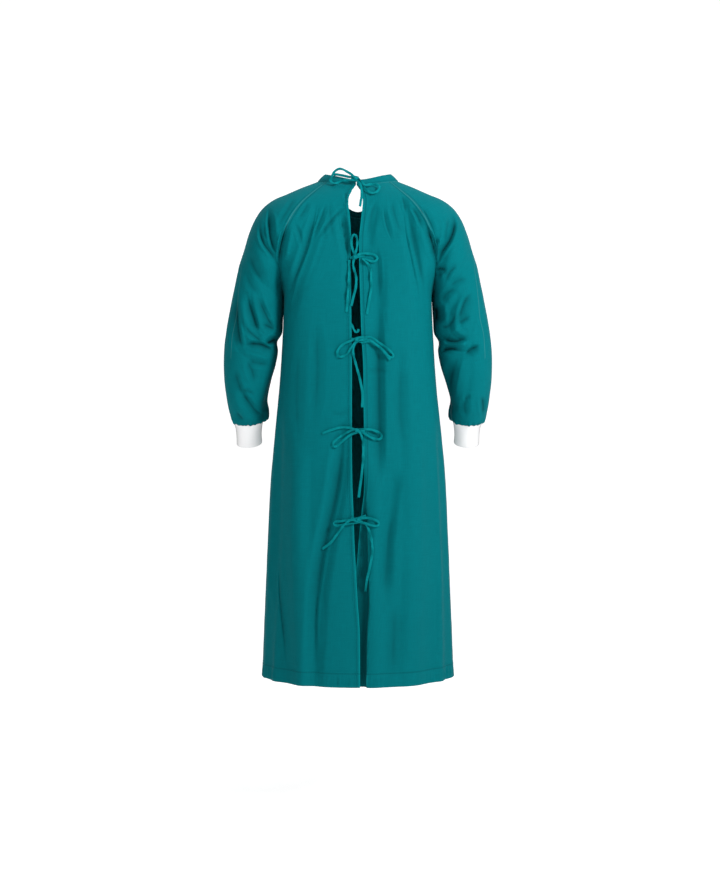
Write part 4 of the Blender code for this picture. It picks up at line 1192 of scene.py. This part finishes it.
def grid_faces(rows, columns):
    """(faces, index) of a grid: its quads, and the number of the point at each row and column."""
    index = np.arange(rows * columns).reshape(rows, columns)
    corners = (index[:-1, :-1], index[1:, :-1], index[1:, 1:], index[:-1, 1:])
    return np.stack(corners, axis=-1).reshape(-1, 4), index


def add_cloth(name, grid, painted_crease_shade, finish, thickness, lines=(), rise=0.0, pale=0.0, press=NO_STITCH):
    """One closed piece of cloth from its outer grid. `pale` marks more places that get a painted highlight,
    and
    `press` is how far each point is from a line that the iron has pressed in."""
    lift, labels = sewn_edges(grid, lines)
    labels["fold"] = labels["fold"] + pale
    labels["crease"] = painted_crease_shade
    labels["press"] = np.broadcast_to(press, grid.across.shape)
    outer = grid.points + (lift + rise)[:, :, None] * outward(grid.points)
    inner = outer - thickness * outward(outer)
    quads, index = grid_faces(*grid.across.shape)
    around = np.concatenate([index[:, 0], index[-1, 1:], index[-2::-1, -1], index[0, -2::-1]])
    a, b = around[:-1], around[1:]
    rim = np.stack([b, a, a + index.size, b + index.size], axis=-1)
    faces = np.concatenate([quads, quads[:, ::-1] + index.size, rim])
    points = np.concatenate([outer.reshape(-1, 3), inner.reshape(-1, 3)])
    cut = np.stack([grid.across.reshape(-1), grid.down.reshape(-1)], axis=1)
    piece = new_piece(name, points, faces.tolist(), np.tile(cut, (2, 1)), finish)
    for label, values in labels.items():
        both = np.tile(values.reshape(-1), 2).astype(np.float32)
        piece.data.attributes.new(label, "FLOAT", "POINT").data.foreach_set("value", both)
    piece.data.set_sharp_from_angle(angle=SHARP_ANGLE)
    print(name, "has", 2 * len(faces), "triangles and is", round(float(grid.down.max()), 3), "m long")
    return piece


print("metres of thickness:", CLOTH_THICKNESS)

# %% [markdown]
# ## Gathers at the wrist
#
# The sleeve is wider than the knit, so its end is drawn in over the cuff in small uneven gathers and
# puffs out just above it. Each gather is a wave around the wrist that grows towards the seam. Waves of
# several lengths are added, so no two gathers match. A line that the iron has pressed in runs down the
# outer side and fades at the elbow. The material draws it as a small bump with a painted sheen on it.

# %% Gathered sleeve ends
GATHER_LENGTH = .022
GATHER_DEPTH = .0016
PUFF = .0010
PUFF_AT = .010
PUFF_WIDTH = .009
END_TURN = .0008
END_TURN_WIDTH = .004
GATHERS = ((17, .0, .55), (23, 1.7, .45), (9, .6, .35), (31, 2.4, .22))
PRESS_DOWN = (.05, .12, .20, .26, .34, .42, .48)
PRESS_ROUND = (.480, .462, .425, .392, .358, .362, .360)
PRESS_STARTS = -.060
PRESS_ENDS = -.440
PRESS_END_WIDTH = .01


def gathered(grid):
    """How far the sleeve's end stands out at each point."""
    left = grid.down[-1:] - grid.down
    round_it = 2 * math.pi * grid.across / grid.across[:, -1:]
    wave = sum(share * np.sin(count * round_it + shift) for count, shift, share in GATHERS)
    puff = PUFF * np.exp(-(((left - PUFF_AT) / PUFF_WIDTH) ** 2)) - END_TURN * falls(left, END_TURN_WIDTH)
    return GATHER_DEPTH * falls(left, GATHER_LENGTH) ** 1.5 * wave + puff


def from_press_line(grid, side):
    """How far each point of a sleeve is from the line pressed down its outer side."""
    height = grid.points[:, :, 2].mean(axis=1)[:, None]
    share = np.interp(-height, PRESS_DOWN, PRESS_ROUND)
    share = share if side == "right" else 1 - share
    shown = ease((height - PRESS_ENDS) / PRESS_END_WIDTH) + ease((PRESS_STARTS - height) / PRESS_END_WIDTH)
    away = grid.across - share * grid.across[:, -1:]
    return away + np.copysign(NO_STITCH * (2 - shown), away)


pieces = {}
for side in ("left", "right"):
    name = f"sleeve_{side}"
    grid, painted_crease_shade = panels[name]
    pieces[name] = add_cloth(
        f"{name}_cloth", grid, painted_crease_shade, gown_cloth, CLOTH_THICKNESS, (("left", "seam"), ("right", "seam")),
        gathered(grid), press=from_press_line(grid, side),
    )

# %% [markdown]
# ## Backs and front
#
# The free edges of the backs have a narrow hem and the bottom has a deep one, so the cloth is double there
# and a line of stitches shows. Sewing pulls such an edge a little short, and it puckers. The pucker is
# a small wave that dies out a few centimetres in from the edge.

# %% Puckered edges
PUCKER_DEPTH = .00080
PUCKER_WIDTH = .026
PUCKERS = ((.0170, .3, .5), (.0243, 1.9, .5), (.0391, .8, .6), (.0117, 2.7, .25))
HEM_PUCKER_DEPTH = .0017
HEM_PUCKERS = ((.0092, .4, .7), (.0131, 2.1, .6), (.0317, .9, .6))
HEM_PUCKER_SIDES = .05
SLOW_PUCKER = .31
BODY_LINES = {
    "back_right": (("left", "edge"), ("right", "seam"), ("bottom", "hem")),
    "back_left": (("right", "edge"), ("left", "seam"), ("bottom", "hem")),
    "front": (("left", "seam"), ("right", "seam"), ("bottom", "hem")),
}
# The painted highlight on the crest of the underlap, and how far it reaches.
UNDERLAP_PALE = .5
UNDERLAP_PALE_WIDTH = .0020


def pucker_wave(along, waves):
    """Uneven waves along an edge, stronger in some places than in others."""
    wave = sum(share * np.sin(2 * math.pi * along / length + shift) for length, shift, share in waves)
    return wave * (.55 + .45 * np.sin(2 * math.pi * along / SLOW_PUCKER + 1.1))


def puckered(grid, sides):
    rise = np.zeros_like(grid.across)
    for side in sides:
        away, along = sides_of(grid)[side]
        rise += PUCKER_DEPTH * pucker_wave(along, PUCKERS) * falls(away, PUCKER_WIDTH)
        if side == "bottom":
            between_lines = falls(np.abs(away - HEM_STITCH / 2), HEM_STITCH / 2)
            from_sides = ease(np.minimum(along, along[:, -1:] - along) / HEM_PUCKER_SIDES)
            rise += HEM_PUCKER_DEPTH * pucker_wave(along, HEM_PUCKERS) * between_lines * from_sides
    return rise


# A painted highlight on the crest where the right back turns under the left one.
crest_pale = UNDERLAP_PALE * dips * falls(np.abs(from_crest), UNDERLAP_PALE_WIDTH)
for name, lines in BODY_LINES.items():
    grid, painted_crease_shade = panels[name]
    rise = puckered(grid, [side for side, kind in lines if kind != "seam"])
    pale = crest_pale if name == "back_right" else 0.0
    pieces[name] = add_cloth(f"{name}_cloth", grid, painted_crease_shade, gown_cloth, CLOTH_THICKNESS, lines, rise, pale)

# %% [markdown]
# ## The neck band
#
# A strip of the same cloth, folded double, is sewn round the neckline and stands up from it. It starts
# from the top row of every panel in turn, so it follows the neckline exactly, and leans in as it rises.

# %% Neck band
BAND_NARROWING = .82
BAND_SHALLOWING = .88
BAND_SIDE_RISE = .0185
BAND_MIDDLE_RISE = .0150
BAND_SWELL = .0015
BAND_ROWS = 11
BAND_THICKNESS = .0016


def band_grid(neckline):
    side = np.clip(np.abs(neckline[:, 0]) / YOKE[0].ridge_x, 0, 1)
    top = neckline * np.array((BAND_NARROWING, BAND_SHALLOWING, 1))
    top[:, 2] += BAND_MIDDLE_RISE + (BAND_SIDE_RISE - BAND_MIDDLE_RISE) * ease(side)
    run = run_along(neckline)
    rows = []
    for share in np.linspace(1, 0, BAND_ROWS + 1):
        row = neckline + (top - neckline) * share
        row[:, :2] *= 1 + BAND_SWELL * 4 * share * (1 - share) / np.linalg.norm(row[:, :2], axis=1)[:, None]
        rows.append((row, run))
    return grid_of(rows)


neck_order = ("back_right", "sleeve_right", "front", "sleeve_left", "back_left")
top_rows = [panels[name][0].points[0] for name in neck_order]
neckline = np.concatenate([top_rows[0]] + [row[1:] for row in top_rows[1:]])
band = band_grid(neckline)
pieces["neck_band"] = add_cloth(
    "neck_band_cloth", band, 0 * band.across, band_cloth, BAND_THICKNESS, (("bottom", "seam"),),
)

# %% [markdown]
# ## Rib-knit cuffs
#
# Rib knit is made of columns of stitches that stand forward and back in turn, which lets it stretch over a
# hand and grip the wrist. Each column is modelled: a rounded wave around the cuff. The knit is double, so
# its lower edge is a fold, and its top is tucked into the sleeve.

# %% Cuffs
CUFF_ROWS = 30
CUFF_THICKNESS = .0022
CUFF_ENDS = (0.0, .0005)
CUFF_TUCK = .0060
CUFF_TUCK_DEPTH = .0013
CUFF_FOLD = .0009
CUFF_FOLD_WIDTH = .0016
CUFF_WAVE = .0006
CUFF_WAVE_OVER = .03
CUFF_WAVES = ((2, .4, .6), (5, 1.3, .4))
RIB_DEPTH = .00022
RIB_ENDS = .002
RIB_COLUMNS = 5


def cuff_grid():
    """The right cuff. It starts inside the sleeve and follows the cuff's rings down."""
    length = len(CUFF) - 1
    around = [round_arm(ARMPIT + length * i / CUFF_ROWS, CUFF) for i in range(CUFF_ROWS + 1)]
    ribs = round(run_along(around[-1])[-1] / RIB_PITCH)
    rows = []
    for line in around:
        points, stops = spread(line, CUFF_ENDS, CUFF_ENDS, ribs * RIB_COLUMNS)
        rows.append((points, stops * ribs * RIB_PITCH / stops[-1]))
    return grid_of(rows)


def knit_form(grid):
    """How far the knit stands out, and how deep in a valley between ribs it is, which the material paints as
    shade.
    """
    left = grid.down[-1:] - grid.down
    rib = np.abs(np.cos(math.pi * grid.across / RIB_PITCH))
    round_it = 2 * math.pi * grid.across / grid.across[:, -1:]
    wave = sum(share * np.sin(count * round_it + shift) for count, shift, share in CUFF_WAVES)
    rise = RIB_DEPTH * rib * np.clip(left / RIB_ENDS, 0, 1)
    rise += CUFF_WAVE * wave * ease(grid.down / CUFF_WAVE_OVER)
    rise -= CUFF_FOLD * falls(left, CUFF_FOLD_WIDTH) + CUFF_TUCK_DEPTH * falls(grid.down, CUFF_TUCK)
    return rise, 1 - rib


right_cuff = cuff_grid()
for side, grid in (("right", right_cuff), ("left", mirrored(right_cuff))):
    rise, valley = knit_form(grid)
    pieces[f"cuff_{side}"] = add_cloth(f"cuff_{side}_knit", grid, valley, rib_knit, CUFF_THICKNESS, (), rise)

# %% [markdown]
# ## The ties
#
# Each tie is a flat tape. Where it runs is a list of (x, z) points in millimetres; how far out it lies is
# worked out: on the cloth, over the tapes laid before it, and over its own earlier turns, with no steep
# steps. Real tape also rolls a little as it bends, so its edge lifts and catches light. A knot is a short
# turn of the same tape over the middle of a bow, at an angle in degrees.

# %% Routes of the ties
TIES = {
    "tie_1_left": (
        (-18, -6), (-11, -3), (-3, -6), (9, -20), (17, -29), (25, -37), (35, -41), (46, -36), (52, -26),
        (47, -19.5), (37, -17.5), (27, -18.5), (17, -20.5), (7, -11), (-4, 0), (-19, 1), (-37, 6),
        (-51, 9.5), (-58, 9.8),
    ),
    "tie_1_right": (
        (2, -2), (-6, -2), (-12, 3), (-20, 10), (-41, 22), (-55, 17), (-63, 3), (-65, -8), (-55, -14),
        (-37, -8), (-18, -7), (-6, -8), (3, -15), (8, -26), (9, -46), (7, -60), (5, -74),
    ),
    "tie_2_left": (
        (-19, -198), (-13, -196.5), (-8, -190), (-14, -172), (-15, -153), (-8.5, -142), (-2, -153),
        (-2, -172), (-7, -190), (-10, -203), (-11, -216), (-8, -229), (-4, -246), (-5, -268), (-10, -288),
        (-16, -312),
    ),
    "tie_2_right": (
        (16, -192), (6, -194), (-7, -197), (6, -189), (22, -188), (38, -191), (46, -199), (38, -207),
        (22, -203), (9, -199), (16, -205), (24, -213), (30, -226), (31, -245), (31, -272), (26, -302),
        (21, -332),
    ),
    "tie_2_spare": (
        (-20.5, -203), (-21, -225), (-22, -258), (-24, -290), (-27, -326),
    ),
    "tie_3_left": (
        (-17, -390), (-9, -390.5), (0, -391), (12, -388), (29, -386), (56, -402), (80, -422), (83, -431),
        (74, -431), (50, -408), (28, -396), (14, -398), (2, -396), (-8, -403), (-11, -424), (-4, -452),
        (6, -490), (11, -522), (10, -551),
    ),
    "tie_3_right": (
        (14, -386), (8, -386.5), (-1, -388), (-16, -394), (-34, -402), (-47, -416), (-48, -427),
        (-40, -432), (-26, -425), (-16, -411), (-4, -397), (12, -392), (30, -394), (56, -413), (76, -439),
    ),
    "tie_4_left": (
        (-19, -603), (-12, -604), (-4, -604), (12, -603), (30, -603), (48, -609), (56, -618), (50, -626),
        (32, -622), (14, -612), (0, -606), (-16, -600), (-40, -598), (-62, -604), (-84, -612),
    ),
    "tie_4_right": (
        (16, -606), (8, -607), (-2, -609), (-18, -616), (-36, -630), (-50, -642), (-58, -642), (-58, -634),
        (-44, -622), (-24, -609), (-6, -603), (5, -611), (11, -626), (12.5, -645), (12, -675), (9, -708),
        (4, -745), (2, -762),
    ),
    "tie_5_right": (
        (19, -805), (12, -807), (4, -810), (-10, -813), (-32, -816.5), (-51, -819), (-57, -823),
        (-51, -827.5), (-32, -825), (-12, -821.5), (6, -820), (18, -824), (25, -836), (32, -860),
        (34, -888), (28, -922), (21, -955), (18, -982),
    ),
    "tie_5_left": (
        (-17, -812), (-11, -812), (-3, -812), (12, -810), (28, -810), (44, -816), (50, -823), (43, -828),
        (26, -825), (12, -820), (-3, -816), (-18, -815), (-34, -828), (-50, -850), (-64, -868), (-84, -884),
    ),
}
INNER_TIE = (
    (-30, -352), (-20, -352), (-14, -358), (-9, -368), (-4, -374), (0, -371), (2, -366),
)
Knot = namedtuple("Knot", "at tilt")
KNOTS = {
    "tie_1_right": Knot((-.0050, -.0050), 40),
    "tie_2_right": Knot((-.0060, -.1960), -10),
    "tie_3_right": Knot((-.0025, -.3920), 12),
    "tie_4_right": Knot((-.0020, -.6055), 8),
    "tie_5_left": Knot((.0020, -.8140), 6),
}
print("ties:", len(TIES) + 1)

# %% [markdown]
# To lay a tape on the cloth, a ray is sent at the gown from behind for each sample of the route. A BVH
# tree finds what it meets at once. The opening between the panels is bridged in this tree, because a
# tape crosses it in the air.

# %% The surface that the ties lie on
DIPPED = .0015
RAY_STEP = .003
RAY_STEPS = 24
NO_CLOTH_Y = -.070
TIE_FOOT = .0036
SPACED_FINE = 399
LEAST_STATIONS = 6


def resting_surface(left, right):
    right = right.copy()
    crest = len(EDGE_STOPS)
    for row in right:
        inside = row[:, 1] > row[crest, 1] + DIPPED
        inside[crest:] = False
        row[inside] = row[crest]
    joined = np.concatenate([left, right], axis=1)
    faces, _ = grid_faces(*joined.shape[:2])
    return BVHTree.FromPolygons(joined.reshape(-1, 3).tolist(), faces.tolist())


def rest_y(x, z):
    for drop in range(RAY_STEPS):
        hit = surface.ray_cast(Vector((x, -1, z - RAY_STEP * drop)), Vector((0, 1, 0)))[0]
        if hit is not None:
            return hit.y
    return NO_CLOTH_Y


def cloth_under(point):
    offsets = (-TIE_FOOT, 0, TIE_FOOT)
    return min(rest_y(point[0] + a, point[1] + b) for a in offsets for b in offsets)


def spaced(route, step):
    """Stations at even steps along a route, and how far along each one is."""
    fine = np.array([between(route, (len(route) - 1) * i / SPACED_FINE) for i in range(SPACED_FINE + 1)])
    run = run_along(fine)
    stops = np.linspace(0, run[-1], max(LEAST_STATIONS, round(run[-1] / step)) + 1)
    return np.stack([np.interp(stops, run, fine[:, i]) for i in range(2)], axis=1), stops


left_rows = panels["back_left"][0].points
right_rows = panels["back_right"][0].points
collar = band.points[:-1]
surface = resting_surface(
    np.concatenate([collar[:, -left_rows.shape[1]:], left_rows]),
    np.concatenate([collar[:, :right_rows.shape[1]], right_rows]),
)
print("cloth at the third bow:", round(rest_y(0, -.39), 4))

# %% [markdown]
# Tape is too stiff to step down sharply from what it lies on. So its height is settled in a few passes:
# each one lifts it off its own earlier turns and then limits its slope.

# %% The line of a tape
TIE_WIDTH = .0062
TIE_THICKNESS = .0010
TIE_CLEARANCE = .0008
TIE_CROSSING = .0076
TIE_OWN_TURN = .0150
TIE_SLOPE = .40
TIE_SAMPLE = .0015
TIE_STEP = .0022
TIE_TURN_ROOM = .62
SETTLE_PASSES = 6
LOOP_LIFT = .0022
LOOP_LIFT_OVER = .03


def laid_out(points, run, laid):
    """The Y of each sample of a tape: on the cloth, on what is laid already, and on its own turns."""
    lift = LOOP_LIFT * ease(run / LOOP_LIFT_OVER) * ease((run[-1] - run) / LOOP_LIFT_OVER)
    y = np.array([cloth_under(point) for point in points]) - HEM_SWELL - lift
    for i, point in enumerate(points):
        over = laid[np.linalg.norm(laid[:, :2] - point, axis=1) < TIE_CROSSING]
        if len(over):
            y[i] = min(y[i], over[:, 2].min() - TIE_CLEARANCE)
    apart = np.linalg.norm(points[:, None] - points[None], axis=2)
    along = run[:, None] - run[None]
    own = (apart < TIE_CROSSING) & (along > TIE_OWN_TURN)
    for _ in range(SETTLE_PASSES):
        outside = np.where(own, (y - TIE_THICKNESS)[None], np.inf).min(axis=1)
        y = np.minimum(y, outside - TIE_CLEARANCE)
        y = (y[None] + TIE_SLOPE * np.abs(along)).min(axis=1)
    return y


def tape_line(route, laid, push):
    """(centres, sideways, half widths, samples) of a tape laid over what is there already."""
    points, run = spaced(route, TIE_SAMPLE)
    y = laid_out(points, run, laid)
    samples = np.column_stack([points, y - TIE_THICKNESS])
    stations, stops = spaced(route, TIE_STEP)
    ahead = np.gradient(stations, axis=0)
    ahead /= np.linalg.norm(ahead, axis=1)[:, None]
    sideways = np.stack([-ahead[:, 1], 0 * ahead[:, 0], ahead[:, 0]], axis=1)
    turn = np.abs(ahead[:-1, 0] * ahead[1:, 1] - ahead[:-1, 1] * ahead[1:, 0]) / stops[1]
    bend = np.concatenate([turn[:1], np.maximum(turn[:-1], turn[1:]), turn[-1:]])
    half = np.minimum(TIE_WIDTH / 2, TIE_TURN_ROOM / np.maximum(bend, 1))
    out = np.interp(stops, run, y) - TIE_THICKNESS / 2 + push
    return np.stack([stations[:, 0], out, stations[:, 1]], axis=1), sideways, half, samples


print("metres between a tape's samples:", TIE_SAMPLE)

# %% [markdown]
# The tape itself is a strip with a thin oval section, swept along the route. It keeps its own UV map,
# with the width in one direction and the length in the other, so the tape's weave runs along it.

# %% Tape meshes
TAPE_SECTION = 10
TAPE_SQUARE = .40
TAPE_FLAT = .60
TAPE_ROLL = math.radians(48)
ROLL_LENGTH = .043
ROLL_ROOM = .8
PHASE_STEP = 1.3
INNER_TIE_BACK = .0048
INNER_TIE_PHASE = .4
KNOT_HALF = .0050
KNOT_WIDTH = .0086
KNOT_LIFT = .0010
KNOT_TURN = math.radians(100)
KNOT_STEPS = 13
BACK = np.array((0, -1.0, 0))


def tape_body(name, centres, across, out, half):
    """One closed tape: a thin oval section at each centre, wide along `across` and thick along `out`."""
    n = TAPE_SECTION
    angles = 2 * math.pi * np.arange(n) / n
    wide = np.sign(np.cos(angles)) * np.abs(np.cos(angles)) ** TAPE_SQUARE
    thick = np.sign(np.sin(angles)) * np.abs(np.sin(angles)) ** TAPE_FLAT
    points = []
    for centre, side, up, reach in zip(centres, across, out, half):
        points += [centre + side * reach * w + up * TIE_THICKNESS / 2 * t for w, t in zip(wide, thick)]
    last = len(centres) - 1
    faces = [tuple(range(n))]
    for i in range(last):
        faces += [(n * i + (j + 1) % n, n * i + j, n * i + n + j, n * i + n + (j + 1) % n) for j in range(n)]
    faces.append(tuple(n * last + j for j in reversed(range(n))))
    cut = np.stack([np.tile(wide * TIE_WIDTH / 2, len(centres)), np.repeat(run_along(centres), n)], axis=1)
    tape = new_piece(name, points, faces, cut, tie_tape)
    bpy.context.view_layer.objects.active = tape
    tape.select_set(True)
    bpy.ops.object.mode_set(mode="EDIT")
    bpy.ops.mesh.select_all(action="SELECT")
    bpy.ops.mesh.normals_make_consistent(inside=False)
    bpy.ops.object.mode_set(mode="OBJECT")
    tape.select_set(False)
    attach(tape, "root")
    return tape


def add_knot(name, knot, laid):
    """A turn of the same tape over the strands that cross at the middle of a bow."""
    near = laid[np.linalg.norm(laid[:, :2] - knot.at, axis=1) < KNOT_HALF]
    deepest = near[:, 2].max()
    rise = deepest - near[:, 2].min() + TIE_THICKNESS / 2 + TIE_CLEARANCE + KNOT_LIFT
    tilt = math.radians(knot.tilt)
    along = np.array((math.sin(tilt), 0, math.cos(tilt)))
    side = np.array((math.cos(tilt), 0, -math.sin(tilt)))
    turns = np.linspace(-KNOT_TURN, KNOT_TURN, KNOT_STEPS)
    middle = np.array((knot.at[0], deepest, knot.at[1]))
    out = [along * math.sin(t) + BACK * math.cos(t) for t in turns]
    centres = [middle + along * KNOT_HALF * math.sin(t) + BACK * rise * math.cos(t) for t in turns]
    half = KNOT_WIDTH / 2 * (.82 + .18 * np.cos(2 * turns))
    return tape_body(name, centres, [side] * KNOT_STEPS, out, half)


def add_tape(name, route, laid, phase, push=0.0):
    """A tape, its knot and their places in the frame. Gives what is laid with this tape on it."""
    centres, sideways, half, samples = tape_line(np.array(route) / 1000, laid, push)
    run = run_along(centres)
    roll = TAPE_ROLL * np.sin(2 * math.pi * run / ROLL_LENGTH + phase) * np.sin(math.pi * run / run[-1])
    centres[:, 1] -= half * np.abs(np.sin(roll)) * ROLL_ROOM
    across = [side * math.cos(turned) + BACK * math.sin(turned) for side, turned in zip(sideways, roll)]
    out = [BACK * math.cos(turned) - side * math.sin(turned) for side, turned in zip(sideways, roll)]
    tape = tape_body(f"{name}_tape", centres, across, out, half)
    laid = np.concatenate([laid, samples])
    knots = [add_knot(f"{name}_knot", KNOTS[name], laid)] if name in KNOTS else []
    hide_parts(name)
    print(name, "is", round(float(run[-1]), 3), "m long")
    return laid


nothing = np.zeros((0, 3))
laid = nothing
for number, (name, route) in enumerate(TIES.items()):
    laid = add_tape(name, route, laid, PHASE_STEP * number)
add_tape("inner_tie", INNER_TIE, nothing, INNER_TIE_PHASE, INNER_TIE_BACK)

# %% [markdown]
# ## Each piece on the root body
#
# Each piece rides on the root body, and the solid that it stands for is hidden. The flat sizes are
# those of the pattern: the largest width and length of each piece and its area, which is printed next
# to the area of the piece as made.

# %% Cut sizes; each piece goes on the root body and its solid is hidden
Cut = namedtuple("Cut", "width length area slot held on")
CUTS = {
    "front": Cut(.64, 1.15, .60, "gown_cloth", "hung", "neck_band"),
    "back_left": Cut(.36, 1.20, .34, "gown_cloth", "hung", "neck_band"),
    "back_right": Cut(.40, 1.20, .36, "gown_cloth", "hung", "neck_band"),
    "sleeve_left": Cut(.46, .66, .235, "gown_cloth", "hung", "neck_band"),
    "sleeve_right": Cut(.46, .66, .235, "gown_cloth", "hung", "neck_band"),
    "neck_band": Cut(.50, .024, .0115, "band_cloth", "stretched", "front"),
    "cuff_left": Cut(.20, .060, .012, "rib_knit", "stretched", "sleeve_left"),
    "cuff_right": Cut(.20, .060, .012, "rib_knit", "stretched", "sleeve_right"),
}
for name, cut in CUTS.items():
    piece = pieces[name]
    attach(piece, "root")
    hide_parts(name)
    one_layer = sum(face.area for face in piece.data.polygons) / 2
    print(name, "measures", round(one_layer, 4), "m2, and its cut is", cut.area)

# %% [markdown]
# ## Floor, light and air
#
# A garment is shown on a pale sweep: a floor that curves up into a wall with no line between them. Here
# that is one plane whose back edge is extruded up, and the corner is bevelled round. Then its place is
# applied, so that the object sits at the origin like every piece. One soft light stands to the right above
# the camera, a large weaker one to the left, one is overhead, and white air fills in.

# %% The sweep
FLOOR_Z = -1.53
SWEEP_SIZE = 16
SWEEP_PLACE = (0, -3.0, FLOOR_Z)
SWEEP_HEIGHT = 9
SWEEP_ROUND = 2.5
SWEEP_STEPS = 16
NEAR = .1


def select_back_edge(sweep):
    """Selects the edge where the floor meets the wall, in edit mode."""
    bpy.ops.object.mode_set(mode="EDIT")
    bpy.ops.mesh.select_all(action="DESELECT")
    bpy.ops.object.mode_set(mode="OBJECT")
    for vertex in sweep.data.vertices:
        vertex.select = vertex.co.y > SWEEP_SIZE / 2 - NEAR and abs(vertex.co.z) < NEAR
    for edge in sweep.data.edges:
        edge.select = all(sweep.data.vertices[i].select for i in edge.vertices)
    bpy.ops.object.mode_set(mode="EDIT")
    bpy.ops.mesh.select_mode(type="EDGE")


bpy.ops.object.select_all(action="DESELECT")
bpy.ops.mesh.primitive_plane_add(size=SWEEP_SIZE, location=SWEEP_PLACE)
sweep = bpy.context.active_object
sweep.name = "sweep"
select_back_edge(sweep)
bpy.ops.mesh.extrude_region_move(TRANSFORM_OT_translate={"value": (0, 0, SWEEP_HEIGHT)})
select_back_edge(sweep)
bpy.ops.mesh.bevel(offset=SWEEP_ROUND, segments=SWEEP_STEPS, affect="EDGES")
bpy.ops.object.mode_set(mode="OBJECT")
bpy.ops.object.shade_smooth()
bpy.ops.object.transform_apply(location=True, rotation=True, scale=True)
sweep.select_set(False)

paper = start_material("paper", {
    "Base Color": (.93, .93, .93, 1),
    "Roughness": .9,
    "Specular IOR Level": 0,
    "Emission Color": (1, 1, 1, 1),
    "Emission Strength": .42,
})[0]
sweep.data.materials.append(paper)
print("floor at", FLOOR_Z)

# %% The lights and the air
Lamp = namedtuple("Lamp", "name place aim size power")
LAMPS = (
    Lamp("key", (1.95, -2.25, 1.12), (0, 0, -.45), .95, 95),
    Lamp("fill", (-3.0, -3.4, 1.1), (0, 0, -.4), 3.0, 17),
    Lamp("top", (-.3, .3, 2.4), (0, 0, -.3), 1.6, 30),
)
for lamp in LAMPS:
    light = bpy.data.lights.new(lamp.name, "AREA")
    light.shape = "DISK"
    light.size = lamp.size
    light.energy = lamp.power
    holder = bpy.data.objects.new(lamp.name, light)
    holder.location = lamp.place
    holder.rotation_euler = (Vector(lamp.aim) - Vector(lamp.place)).to_track_quat("-Z", "Y").to_euler()
    bpy.context.scene.collection.objects.link(holder)

air = bpy.data.worlds.new("air")
air.use_nodes = True
air.node_tree.nodes["Background"].inputs["Color"].default_value = (1, 1, 1, 1)
air.node_tree.nodes["Background"].inputs["Strength"].default_value = .31
bpy.context.scene.world = air
bpy.context.scene.view_settings.view_transform = "Standard"
print("lights:", [lamp.name for lamp in LAMPS])
